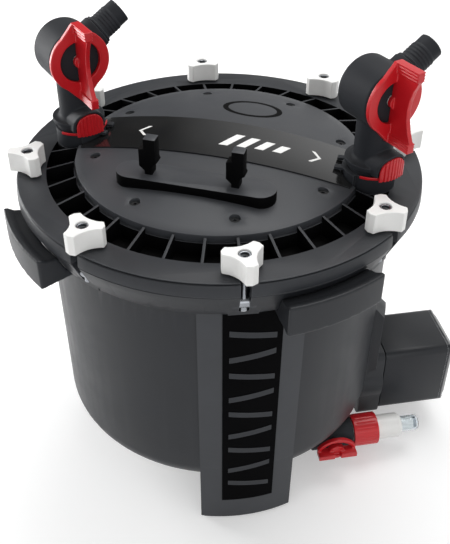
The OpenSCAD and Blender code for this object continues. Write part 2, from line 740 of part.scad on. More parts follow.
module drum() rotate([0, 90, 0]) rotate_extrude() polygon(concat(
    [[0, drum_front], [drum_r - 2, drum_front], [drum_r, drum_front - 2]],
    [for (i = [0:12]) let (t = i * 7.5)
        [drum_r * cos(t), drum_front - drum_l - drum_dome * sin(t)]]
));
module hood(r, x0, x1) translate([x0, 0, 0]) {
    translate([0, 0, tab_z]) rotate([0, 90, 0]) cylinder(r = r, h = x1 - x0);
    translate([0, -r, base_low]) cube([x1 - x0, 2 * r, tab_z - base_low]);
}
module valve_body(side) color("#55585b") difference() {
    union() {
        valve_frame(side) {
            translate([0, 0, spigot_low]) cylinder(r = spigot_r, h = base_low - spigot_low + cut);
            translate([0, 0, base_low]) cylinder(r = base_r_valve, h = collar_low - base_low);
            translate([0, 0, collar_low]) cylinder(r = collar_r, h = collar_top - collar_low);
            translate([0, 0, collar_top - cut]) cylinder(r = neck_r, h = drum_z - collar_top - drum_r / 2);
            translate([0, 0, collar_top]) rotate_extrude() polygon(concat(
                [[neck_r - cut, -cut / 2], [neck_r + collar_fillet, -cut / 2]],
                arc(neck_r + collar_fillet, collar_fillet, collar_fillet, 270, 180, 6),
                [[neck_r - cut, collar_fillet]]
            ));
            translate([0, 0, drum_z]) drum();
            intersection() {
                hood(tab_r + 0.5 + hood_t, 0, hood_front);
                translate([0, 0, hood_low]) cylinder(r = hood_front, h = 60);
            }
        }
        nozzle_frame(side) cylinder(r = socket_r, h = socket_l);
    }
    valve_frame(side) {
        translate([0, 0, drum_z]) sphere(r = ball_r + 0.4);
        translate([0, 0, spigot_low - cut]) cylinder(r = riser_r - riser_wall, h = drum_z - spigot_low);
        translate([0, 0, drum_z]) rotate([0, 90, 0]) cylinder(r = stem_r + running, h = drum_front + cut);
        hood(tab_r + 0.5, tab_back - tab_travel - gap, hood_front + 10);
    }
    nozzle_frame(side) cylinder(r = root_r + seat, h = socket_l + cut);
    valve_frame(side) translate([drum_front, 0, drum_z]) rotate([0, 90, 0]) cylinder(r = lever_reach + 1, h = 20);
}
module nozzle(side) color("#4b4e51") nozzle_frame(side) difference() {
    union() {
        translate([0, 0, root_l]) cylinder(r = root_r, h = core_l - root_l + cut);
        translate([0, 0, core_l]) cylinder(r = tip_r, h = tip_l);
        translate([0, 0, socket_l + seat]) cylinder(r = socket_r - 1, h = 2.2);
        for (i = [0:barb_count - 1]) translate([0, 0, socket_l + 3 + i * barb_pitch])
            cylinder(r1 = barb_r, r2 = tip_r + 0.3, h = barb_pitch - barb_gap);
    }
    translate([0, 0, root_l - cut]) cylinder(r = hose_bore_r, h = core_l + tip_l - root_l + 2 * cut);
}
module ball(side) color("#d8d8d4") difference() {
    union() {
        valve_frame(side) translate([0, 0, drum_z]) {
            sphere(r = ball_r);
            rotate([0, 90, 0]) cylinder(r = stem_r, h = lever_back);
            translate([0, -drive_w / 2, -drive_w / 2]) cube([lever_face - drive_skin, drive_w, drive_w]);
        }
    }
    valve_frame(side) translate([0, 0, drum_z - 2 * ball_r]) cylinder(r = hose_bore_r, h = 2 * ball_r);
    nozzle_frame(side) {
        cylinder(r = hose_bore_r, h = 2 * ball_r);
        sphere(r = hose_bore_r + 0.5);
    }
}
module lever_plate() {
    tip = lever_reach;
    reach = sqrt(tip * tip + pow(grip_t / 2, 2));
    touch = acos(lever_r / reach) - atan(grip_t / 2 / tip);
    difference() {
        union() {
            circle(r = lever_r);
            for (s = [0, 180]) rotate(s) polygon([
                [grip_t / 2, tip], [lever_r * sin(touch), lever_r * cos(touch)], [0, 0],
                [-lever_r * sin(touch), lever_r * cos(touch)], [-grip_t / 2, tip]
            ]);
        }
        circle(r = lever_in_r);
    }
    square([fin_t, 2 * lever_in_r + 4], center = true);
    circle(r = hub_r);
}
module fin_outline(t0, t1) polygon(concat(
    [[lever_back, t0], [lever_back, t1]],
    [for (i = [0:8]) let (v = t1 + (t0 - t1) * i / 8)
        [lever_face + fin_h + fin_flare * pow(min(1, abs(v) / (lever_reach - grip_l)), 2), v]]
));
module lever(side) color("#c01a22") valve_frame(side) translate([0, 0, drum_z]) difference() {
    union() {
        translate([lever_back, 0, 0]) rotate([90, 0, 90]) linear_extrude(lever_t) lever_plate();
        rotate([90, 0, 0]) linear_extrude(fin_t, center = true) fin_outline(-lever_reach, lever_reach);
        rotate([90, 0, 0]) linear_extrude(grip_t, center = true) fin_outline(lever_reach - grip_l, lever_reach);
        rotate([90, 0, 0]) linear_extrude(grip_t, center = true) fin_outline(-lever_reach, grip_l - lever_reach);
    }
    translate([lever_back - cut, -drive_w / 2 - seat, -drive_w / 2 - seat])
        cube([lever_t - drive_skin + cut + seat, drive_w + 2 * seat, drive_w + 2 * seat]);
    for (s = [-1, 1], t = [-1, 1], i = [0:2])
        translate([lever_face, t * grip_t / 2, s * (lever_reach - 1.6 - 2.4 * i)]) rotate([0, 90, 0])
            cylinder(r = 0.8, h = fin_h + fin_flare + 5, $fn = 16);
}
module tab(side) color("#b3161f") valve_frame(side) {
    difference() {
        intersection() {
            translate([tab_back, 0, 0]) {
                translate([0, 0, tab_z]) rotate([0, 90, 0]) cylinder(r = tab_r, h = tab_face - tab_back + cut);
                translate([0, -tab_r, tab_low]) cube([tab_face - tab_back + cut, 2 * tab_r, tab_z - tab_low]);
            }
            translate([0, 0, tab_low - cut]) cylinder(r = tab_face, h = 60);
        }
        for (i = [-3:3]) rotate([0, 0, asin(i * 3.2 / tab_face)]) translate([tab_face, 0, tab_low - cut])
            cylinder(r = 0.9, h = 2 * tab_r + 10, $fn = 16);
        translate([tab_back - cut, -tab_r - cut, tab_low - 20]) cube([20, 2 * tab_r + 2 * cut, 20]);
    }
    rotate([0, 0, -red_strip_angle]) rotate_extrude(angle = 2 * red_strip_angle)
        translate([strip_r, tab_low]) square([red_strip_t, red_strip_h]);
}

// ---- Baskets ----

module basket(i) color("#2f3133") translate([0, 0, basket_z[i]]) difference() {
    union() {
        cylinder(r = basket_r, h = basket_t);
        tube(basket_in_r, basket_in_r - basket_t, basket_h);
        translate([0, 0, basket_h - 2]) tube(basket_in_r + 3, basket_in_r - basket_t, 2);
    }
    for (k = [0:window_count - 1]) rotate([0, 0, (k + 0.5) * 360 / window_count])
        translate([basket_in_r - 2 * basket_t, -window_w / 2, 10]) cube([4 * basket_t, window_w, basket_h - 20]);
    for (k = [0:grid_slots - 1]) rotate([0, 0, (k + 0.5) * 360 / grid_slots])
        translate([24, -4, -cut]) cube([basket_in_r - 36, 8, basket_t + 2 * cut]);
    for (s = [-1, 1]) translate([s * handle_x, 0, -cut]) cylinder(r = handle_hole_r, h = basket_t + 2 * cut);
}
module foam_inserts() color("#26292b") for (z = basket_z) translate([0, 0, z + basket_t + seat])
    tube(basket_r - 2, basket_in_r + 0.4, basket_h - basket_t - 2.6);
module media_fill() color("#c9c2b4") for (z = basket_z) translate([0, 0, z + basket_t + seat]) difference() {
    cylinder(r = basket_in_r - basket_t - 0.5, h = media_h);
    for (s = [-1, 1]) translate([s * handle_x, 0, -cut]) cylinder(r = handle_hole_r, h = media_h + 2 * cut);
}
module basket_cover() color("#2f3133") translate([0, 0, basket_cover_z]) difference() {
    cylinder(r = basket_r, h = basket_cover_t);
    for (k = [0:grid_slots - 1]) rotate([0, 0, (k + 0.5) * 360 / grid_slots])
        translate([24, -4, -cut]) cube([basket_in_r - 16, 8, basket_cover_t + 2 * cut]);
    for (s = [-1, 1]) translate([s * handle_x, 0, -cut]) cylinder(r = handle_hole_r, h = basket_cover_t + 2 * cut);
}
module lift_handles() color("#b3161f") for (s = [-1, 1]) translate([s * handle_x, 0, 0]) {
    foot_z = basket_z[0] - handle_foot_h - seat;
    translate([0, 0, foot_z]) cylinder(r = handle_foot_r, h = handle_foot_h);
    translate([0, 0, foot_z]) cylinder(r = handle_r, h = handle_bar_z - foot_z);
    translate([0, 0, handle_bar_z]) linear_extrude(handle_bar_h) stadium(handle_bar_l, handle_bar_w);
}

// ---- Pump and motor ----

module riser_tube() color("#303234") translate([port_r, 0, riser_seat_z + seat])
    tube(riser_r, riser_r - riser_wall, riser_top - riser_seat_z - seat);
module impeller_cover() color("#303234") difference() {
    union() {
        pump_frame(well_in) cylinder(r = well_r - seat, h = cover_plate_t);
        pump_frame(well_in) cylinder(r = bush_r + 3, h = cover_plate_t + bush_l);
    }
    pump_frame(well_in + cover_plate_t / 2) cylinder(r = bush_r + seat / 2, h = 20);
    for (k = [0:7]) pump_frame(well_in - cut) rotate([0, 0, k * 45]) translate([18, 0, 0]) cylinder(r = 4.5, h = 10);
}
module rotor_can() color("#303234") difference() {
    union() {
        pump_frame(can_flange_x) cylinder(r = well_r - seat, h = can_flange_t);
        pump_frame(can_flange_x) cylinder(r = can_r, h = can_end - can_flange_x);
    }
    pump_frame(can_flange_x - cut) cylinder(r = can_r - can_t, h = can_end - can_flange_x + cut - bush_l - 1);
    pump_frame(can_end - bush_l - 2) cylinder(r = bush_r + seat / 2, h = bush_l);
}
module shaft_bushes() color("#c8a45a") {
    pump_frame(well_in + cover_plate_t / 2 + seat) tube(bush_r, shaft_r + seat / 2, cover_plate_t / 2 + bush_l - 1);
    pump_frame(can_end - bush_l - 2) tube(bush_r, shaft_r + seat / 2, bush_l - seat);
}
module impeller_shaft() color("#d4d6d8") pump_frame(well_in + cover_plate_t / 2 + 1)
    cylinder(r = shaft_r, h = can_end - 3 - well_in - cover_plate_t / 2 - 1);
module impeller_wheel() color("#e4e4e0") difference() {
    union() {
        pump_frame(wheel_x) cylinder(r = 7, h = magnet_x - wheel_x - seat);
        pump_frame(wheel_x + wheel_l) cylinder(r = impeller_r, h = 2);
        for (k = [0:5]) pump_frame(wheel_x) rotate([0, 0, k * 60]) translate([5, -1, 0]) cube([impeller_r - 5.5, 2, wheel_l + 1]);
    }
    pump_frame(wheel_x - cut) cylinder(r = shaft_r + running, h = 60);
}
module rotor_magnet() color("#2b2b2d") pump_frame(magnet_x) tube(magnet_r, shaft_r + running, magnet_l);
module stator_core() color("#8a5a32") pump_frame(housing_x + stator_x) difference() {
    union() {
        linear_extrude(stator_l) round_box(motor_h - stator_in[0], motor_w - stator_in[1], 4);
        for (s = [-1, 1]) translate([s * (motor_h / 2 - coil_in), 0, -coil_over])
            linear_extrude(stator_l + 2 * coil_over) round_box(coil_box[0], coil_box[1], 3);
    }
    translate([0, 0, -coil_over - cut]) cylinder(r = can_r + seat, h = stator_l + 2 * (coil_over + cut));
}
module motor_section(inset) round_box(motor_h - 2 * inset, motor_w - 2 * inset, motor_round - inset);
function motor_corners() = [
    for (s = [-1, 1], t = [-1, 1]) [s * (motor_h / 2 - housing_t - 4), t * (motor_w / 2 - housing_t - 4)]
];
module motor_housing() color("#37393c") pump_frame(housing_x) difference() {
    union() {
        difference() {
            linear_extrude(housing_l) motor_section(0);
            translate([0, 0, -cut]) linear_extrude(housing_l + 2 * cut) motor_section(housing_t);
        }
        for (p = motor_corners()) translate([p[0], p[1], housing_l - 16]) cylinder(r = 5, h = 16);
    }
    for (p = motor_corners()) translate([p[0], p[1], housing_l - 14]) cylinder(r = screw_r + seat / 2, h = 14 + cut);
    translate([-gland_z, motor_w / 2 - housing_t - cut, gland_x]) rotate([-90, 0, 0]) cylinder(r = gland_r + seat, h = 10);
}
module cable_gland() color("#1e1f20") pump_frame(housing_x) translate([-gland_z, 0, gland_x]) rotate([-90, 0, 0]) difference() {
    union() {
        translate([0, 0, motor_w / 2 - housing_t - 3]) cylinder(r = gland_r, h = housing_t + 12);
        translate([0, 0, motor_w / 2 + seat]) cylinder(r = gland_r + 3.5, h = 5, $fn = 6);
        translate([0, 0, motor_w / 2 - housing_t - 3]) cylinder(r = gland_r + 2.5, h = 3 - seat);
    }
    translate([0, 0, motor_w / 2 - housing_t - 5]) cylinder(r = 3.6, h = 30);
}
module motor_end_cap() color("#45474a") pump_frame(cap_x) difference() {
    linear_extrude(cap_l) motor_section(0);
    for (p = motor_corners()) translate([p[0], p[1], -cut]) cylinder(r = screw_r + seat, h = cap_l + 2 * cut);
    for (p = motor_corners()) translate([p[0], p[1], cap_l - 5]) cylinder(r = 3.8, h = 6);
    for (s = [-1, 1]) {
        translate([s * motor_h / 2, 0, cap_l]) rotate([0, 45, 0]) cube([8, motor_w + 2, 8], center = true);
        translate([0, s * motor_w / 2, cap_l]) rotate([45, 0, 0]) cube([motor_h + 2, 8, 8], center = true);
    }
}
module motor_screws() color("#9a9da0") pump_frame(cap_x) for (p = motor_corners()) translate([p[0], p[1], 0]) {
    translate([0, 0, cap_l - 5 + seat]) cylinder(r = 3.4, h = 2.2);
    translate([0, 0, -12]) cylinder(r = screw_r, h = 12 + cap_l - 4.5);
}
module canister_seals() color("#111112") {
    pump_frame(well_out + seat) linear_extrude(gasket_t) difference() {
        round_box(motor_h - 4, motor_w - 4, motor_round - 2);
        round_box(motor_h - 12, motor_w - 12, motor_round - 6);
    }
    translate([port_r, 0, mouth_z - 6]) rotate_extrude() translate([riser_r + 0.5, 0]) circle(r = 0.4, $fn = 16);
    purge_frame(purge_body_x + purge_body_l + seat) tube(purge_nozzle_r - 1, purge_bore_r + 1, purge_seal_t);
}

// ---- Purge valve ----

module purge_pipe() color("#2c2e30") difference() {
    union() {
        purge_frame(purge_drain_x) cylinder(r = pipe_r, h = purge_body_x - purge_drain_x - seat);
        purge_frame(purge_drain_x) sphere(r = pipe_r);
        rotate([0, 0, motor_az]) translate([purge_drain_x, -purge_off, purge_z])
            cylinder(r = pipe_r, h = shell_z - purge_z - seat);
    }
    purge_frame(purge_drain_x) cylinder(r = purge_bore_r, h = 60);
    rotate([0, 0, motor_az]) translate([purge_drain_x, -purge_off, purge_z]) cylinder(r = purge_bore_r, h = 30);
}
module purge_valve_body() color("#2f3133") difference() {
    union() {
        purge_frame(purge_body_x) cylinder(r = purge_body_r, h = purge_body_l);
        stem_frame() cylinder(r = 9, h = purge_boss_l);
    }
    purge_frame(purge_body_x - cut) cylinder(r = purge_bore_r, h = 60);
    purge_frame(purge_stem_x) sphere(r = purge_ball_r + 0.3);
    stem_frame() cylinder(r = purge_stem_r + running, h = 40);
}
module purge_ball() color("#d8d8d4") difference() {
    union() {
        purge_frame(purge_stem_x) sphere(r = purge_ball_r);
        stem_frame() cylinder(r = purge_stem_r, h = purge_boss_l + 3);
    }
    purge_frame(purge_body_x) cylinder(r = purge_bore_r, h = purge_body_l);
}
module purge_knob() color("#c01a22") stem_frame() translate([0, 0, purge_boss_l + gap]) difference() {
    union() {
        cylinder(r = 8.5, h = 6);
        for (s = [0, 180]) rotate([0, s, 0]) translate([wing_slot / 2, -wing_t / 2, s == 0 ? 0 : -wing_l])
            cube([(wing_w - wing_slot) / 2, wing_t, wing_l]);
        translate([-wing_slot, -wing_t / 2, 0]) cube([2 * wing_slot, 2, wing_l - 2]);
        linear_extrude(4.5) intersection() {
            difference() {
                translate([0, bow_h - bow_r]) circle(r = bow_r);
                translate([0, bow_h - bow_r]) circle(r = bow_r - bow_t);
            }
            translate([-wing_w / 2, 0]) square([wing_w, bow_h + cut]);
        }
    }
    translate([0, 0, -cut]) cylinder(r = purge_stem_r + seat, h = 4 + cut);
}
module purge_lock_nut() color("#c01a22") purge_frame(purge_nozzle_x) difference() {
    cylinder(r = lock_nut_r, h = lock_nut_l);
    translate([0, 0, -cut]) cylinder(r = purge_nozzle_r + gap, h = lock_nut_l + 2 * cut);
    for (k = [0:17]) rotate([0, 0, k * 20]) translate([lock_nut_r + 0.4, 0, 3]) cylinder(r = 0.9, h = lock_nut_l - 6, $fn = 16);
}
module purge_nozzle() color("#efefeb") purge_frame(purge_nozzle_x) difference() {
    union() {
        cylinder(r = purge_nozzle_r, h = purge_nozzle_l - 3);
        translate([0, 0, purge_nozzle_l - 3]) cylinder(r1 = purge_nozzle_r, r2 = purge_nozzle_r - 3, h = 3);
        translate([0, 0, purge_nozzle_l - cut]) cylinder(r = tail_r, h = tail_l + cut - 4);
    }
    translate([0, 0, -cut]) cylinder(r = tail_r - 2, h = purge_nozzle_l + tail_l + 2 * cut);
}
module purge_cap() color([0.9, 0.92, 0.94, 0.4]) purge_frame(purge_nozzle_x + purge_nozzle_l + gap)
    rotate_extrude() polygon(concat(
        [[tail_r + seat, 0], [tail_r + seat + cap_wall, 0]],
        arc(tail_r + seat + cap_wall - 4, tail_l - 2, 4, 0, 90, 5),
        [[0, tail_l + 2], [0, tail_l + 2 - cap_wall]],
        arc(tail_r + seat - 3, tail_l - 2.2, 3, 90, 0, 5)
    ));

canister_shell();
grip_lugs();
leg_columns();
foot_pads();
barrel_nuts();
lid_studs();
front_strip();
motor_housing();
motor_end_cap();
motor_screws();
cable_gland();
stator_core();
rotor_can();
impeller_shaft();
shaft_bushes();
impeller_cover();
riser_tube();
canister_seals();
purge_pipe();
purge_valve_body();
impeller_wheel();
rotor_magnet();
purge_knob();
purge_ball();
purge_lock_nut();
purge_nozzle();
purge_cap();
basket(0);  // basket_lower
basket(1);  // basket_middle
basket(2);  // basket_upper
foam_inserts();
media_fill();
basket_cover();
lift_handles();
lid_shell();
lid_cover();
lid_band();
cover_screws();
hook_bracket();
lid_seal();
port(-1);  // inlet_port
port(1);  // outlet_port
valve_body(-1);  // inlet_valve_body
nozzle(-1);  // inlet_nozzle
lever(-1);  // inlet_lever
ball(-1);  // inlet_ball
tab(-1);  // inlet_tab
valve_body(1);  // outlet_valve_body
nozzle(1);  // outlet_nozzle
lever(1);  // outlet_lever
ball(1);  // outlet_ball
tab(1);  // outlet_tab
knob(0);  // knob_1
knob(1);  // knob_2
knob(2);  // knob_3
knob(3);  // knob_4
knob(4);  // knob_5
knob(5);  // knob_6
knob(6);  // knob_7
knob(7);  // knob_8
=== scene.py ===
"""Looks of a canister filter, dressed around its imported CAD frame.

Metres, +Z up, the front towards -Y and the outlet valve towards +X, as in the frame.
"""

import json
import logging
import math
from collections.abc import Callable
from dataclasses import dataclass
from enum import Enum

import bpy
from mathutils import Matrix, Vector

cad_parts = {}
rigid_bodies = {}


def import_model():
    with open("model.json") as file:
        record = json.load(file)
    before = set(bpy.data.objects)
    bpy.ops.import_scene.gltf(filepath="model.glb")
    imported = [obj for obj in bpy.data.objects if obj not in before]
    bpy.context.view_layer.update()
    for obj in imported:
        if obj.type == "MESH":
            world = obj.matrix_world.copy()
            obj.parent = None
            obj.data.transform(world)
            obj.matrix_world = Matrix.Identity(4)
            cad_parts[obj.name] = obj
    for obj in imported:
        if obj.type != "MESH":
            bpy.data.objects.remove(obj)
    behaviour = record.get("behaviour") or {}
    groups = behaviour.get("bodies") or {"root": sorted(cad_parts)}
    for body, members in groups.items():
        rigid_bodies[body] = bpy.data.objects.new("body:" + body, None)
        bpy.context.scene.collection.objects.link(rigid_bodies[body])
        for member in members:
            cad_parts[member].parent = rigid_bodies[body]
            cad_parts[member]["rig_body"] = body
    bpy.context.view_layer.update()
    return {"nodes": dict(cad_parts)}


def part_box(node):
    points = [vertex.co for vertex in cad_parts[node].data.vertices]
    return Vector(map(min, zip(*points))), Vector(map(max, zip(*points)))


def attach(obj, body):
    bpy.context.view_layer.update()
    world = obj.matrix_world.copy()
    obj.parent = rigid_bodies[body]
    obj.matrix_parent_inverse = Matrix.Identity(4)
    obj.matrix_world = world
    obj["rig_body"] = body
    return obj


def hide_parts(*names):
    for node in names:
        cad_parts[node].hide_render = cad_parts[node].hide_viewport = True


LOG = logging.getLogger("canister_filter")
MM = 0.001

# Where a noise texture's values lie, nearly all of them
NOISE_LOW, NOISE_HIGH = 0.3, 0.7
# The cosine between a rounded normal and the true one: where the edge mask starts and where it is full. The mask
# marks rubbed edges, and paints a highlight on the motor cap's edges
EDGE_MASK_START, EDGE_MASK_FULL = 0.995, 0.86
EDGE_MASK_REACH = 1.1  # millimetres
DUST_SHADE = "#b9b6ae"
# Painted shade: the linear colour that stands for the shade deep in a foam or media cell.
PAINTED_CELL_SHADE = (0.004, 0.004, 0.004, 1)  # linear colour in the depth of a foam cell
COAT_ROUGHNESS = 0.08
# Cells in a metre: of the slow mottle, of the noise that breaks up the edge mask (rubbed edges and painted edge
# highlight), and of settled dust
MOTTLE_CELLS, EDGE_MASK_CELLS, DUST_CELLS = 26.0, 140.0, 30.0

for left_over in list(bpy.data.objects):
    bpy.data.objects.remove(left_over)
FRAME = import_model()


# ---------------------------------------------------------------- shader node groups

class Groups:
    """The shader node groups that several finishes share, each built once."""

    _made: dict[str, bpy.types.NodeTree] = {}

    @staticmethod
    def _start(name: str, inputs: dict[str, float], outputs: tuple[str, ...]) -> bpy.types.NodeTree:
        """Makes an empty group with float sockets.

        Args:
            name: The group's name.
            inputs: Input socket names and their default values.
            outputs: Output socket names.

        Returns:
            The new node tree, with its input and output nodes named "in" and "out".
        """
        tree = bpy.data.node_groups.new(name, "ShaderNodeTree")
        for label, value in inputs.items():
            socket = tree.interface.new_socket(label, in_out="INPUT", socket_type="NodeSocketFloat")
            socket.default_value = value
        for label in outputs:
            tree.interface.new_socket(label, in_out="OUTPUT", socket_type="NodeSocketFloat")
        tree.nodes.new("NodeGroupInput").name = "in"
        tree.nodes.new("NodeGroupOutput").name = "out"
        return tree

    @staticmethod
    def _put_out(tree: bpy.types.NodeTree, mask: bpy.types.NodeSocket, cells: str, detail: float) -> None:
        """Breaks a mask up with noise, scales it by the group's amount and puts it out.

        Args:
            tree: The group, with an input named "Amount" and an output named "Mask".
            mask: The socket with the whole mask.
            cells: The group's input that holds the noise's scale.
            detail: Detail of the noise.
        """
        nodes, link = tree.nodes, tree.links.new
        noise = nodes.new("ShaderNodeTexNoise")
        noise.inputs["Detail"].default_value = detail
        link(nodes.new("ShaderNodeTexCoord").outputs["Object"], noise.inputs["Vector"])
        link(nodes["in"].outputs[cells], noise.inputs["Scale"])
        for factor in (noise.outputs["Fac"], nodes["in"].outputs["Amount"]):
            product = nodes.new("ShaderNodeMath")
            product.operation = "MULTIPLY"
            link(mask, product.inputs[0])
            link(factor, product.inputs[1])
            mask = product.outputs["Value"]
        link(mask, nodes["out"].inputs["Mask"])

    @classmethod
    def grain(cls) -> bpy.types.NodeTree:
        """Builds the fine spark-eroded grain of a mould, and the slow mottle of a moulded part.

        Returns:
            The group, which puts out the grain's height and the mottle.
        """
        if "grain" in cls._made:
            return cls._made["grain"]
        tree = cls._start("MouldGrain", {"Scale": 1200.0, "Mottle Scale": 22.0}, ("Height", "Mottle"))
        place = tree.nodes.new("ShaderNodeTexCoord")
        fine = tree.nodes.new("ShaderNodeTexNoise")
        slow = tree.nodes.new("ShaderNodeTexNoise")
        fine.inputs["Detail"].default_value = 2.0
        slow.inputs["Detail"].default_value = 5.0
        slow.inputs["Roughness"].default_value = 0.62
        entry, exit_node = tree.nodes["in"], tree.nodes["out"]
        for texture, label, result in ((fine, "Scale", "Height"), (slow, "Mottle Scale", "Mottle")):
            tree.links.new(place.outputs["Object"], texture.inputs["Vector"])
            tree.links.new(entry.outputs[label], texture.inputs["Scale"])
            tree.links.new(texture.outputs["Fac"], exit_node.inputs[result])
        cls._made["grain"] = tree
        return tree

    @classmethod
    def edge_wear(cls) -> bpy.types.NodeTree:
        """Builds a mask of edges: where a rounded normal leaves the true one, broken by noise. It marks rubbed
        edges, and on the motor cap a painted highlight.

        Returns:
            The group, which puts out the mask.
        """
        if "edge_wear" in cls._made:
            return cls._made["edge_wear"]
        tree = cls._start("ScuffAndHighlightMask", {"Amount": 0.5, "Breakup": 160.0}, ("Mask",))
        nodes, link = tree.nodes, tree.links.new
        round_normal = nodes.new("ShaderNodeBevel")
        round_normal.samples = 4
        round_normal.inputs["Radius"].default_value = EDGE_MASK_REACH * MM
        geometry = nodes.new("ShaderNodeNewGeometry")
        alike = nodes.new("ShaderNodeVectorMath")
        alike.operation = "DOT_PRODUCT"
        link(round_normal.outputs["Normal"], alike.inputs[0])
        link(geometry.outputs["Normal"], alike.inputs[1])
        edge = nodes.new("ShaderNodeMapRange")
        edge.inputs["From Min"].default_value = EDGE_MASK_START
        edge.inputs["From Max"].default_value = EDGE_MASK_FULL
        link(alike.outputs["Value"], edge.inputs["Value"])
        cls._put_out(tree, edge.outputs["Result"], "Breakup", 3.0)
        cls._made["edge_wear"] = tree
        return tree

    @classmethod
    def dust(cls) -> bpy.types.NodeTree:
        """Builds a mask of fine dust that settles on faces that look up.

        Returns:
            The group, which puts out the mask.
        """
        if "dust" in cls._made:
            return cls._made["dust"]
        tree = cls._start("SettledDust", {"Amount": 0.2, "Scale": 35.0}, ("Mask",))
        nodes, link = tree.nodes, tree.links.new
        geometry = nodes.new("ShaderNodeNewGeometry")
        split = nodes.new("ShaderNodeSeparateXYZ")
        link(geometry.outputs["Normal"], split.inputs["Vector"])
        up = nodes.new("ShaderNodeMapRange")
        up.inputs["From Min"].default_value = 0.3  # dust settles on gentler slopes
        link(split.outputs["Z"], up.inputs["Value"])
        cls._put_out(tree, up.outputs["Result"], "Scale", 6.0)
        cls._made["dust"] = tree
        return tree


def linear(shade: str) -> tuple[float, float, float, float]:
    """Turns a display colour into the linear one that a shader takes.

    Args:
        shade: The colour as "#rrggbb".

    Returns:
        Linear red, green, blue and an alpha of 1.
    """
    parts = [int(shade[i:i + 2], 16) / 255 for i in (1, 3, 5)]
    lifted = [c / 12.92 if c <= 0.04045 else ((c + 0.055) / 1.055) ** 2.4 for c in parts]
    return (*lifted, 1.0)


# ---------------------------------------------------------------- finishes

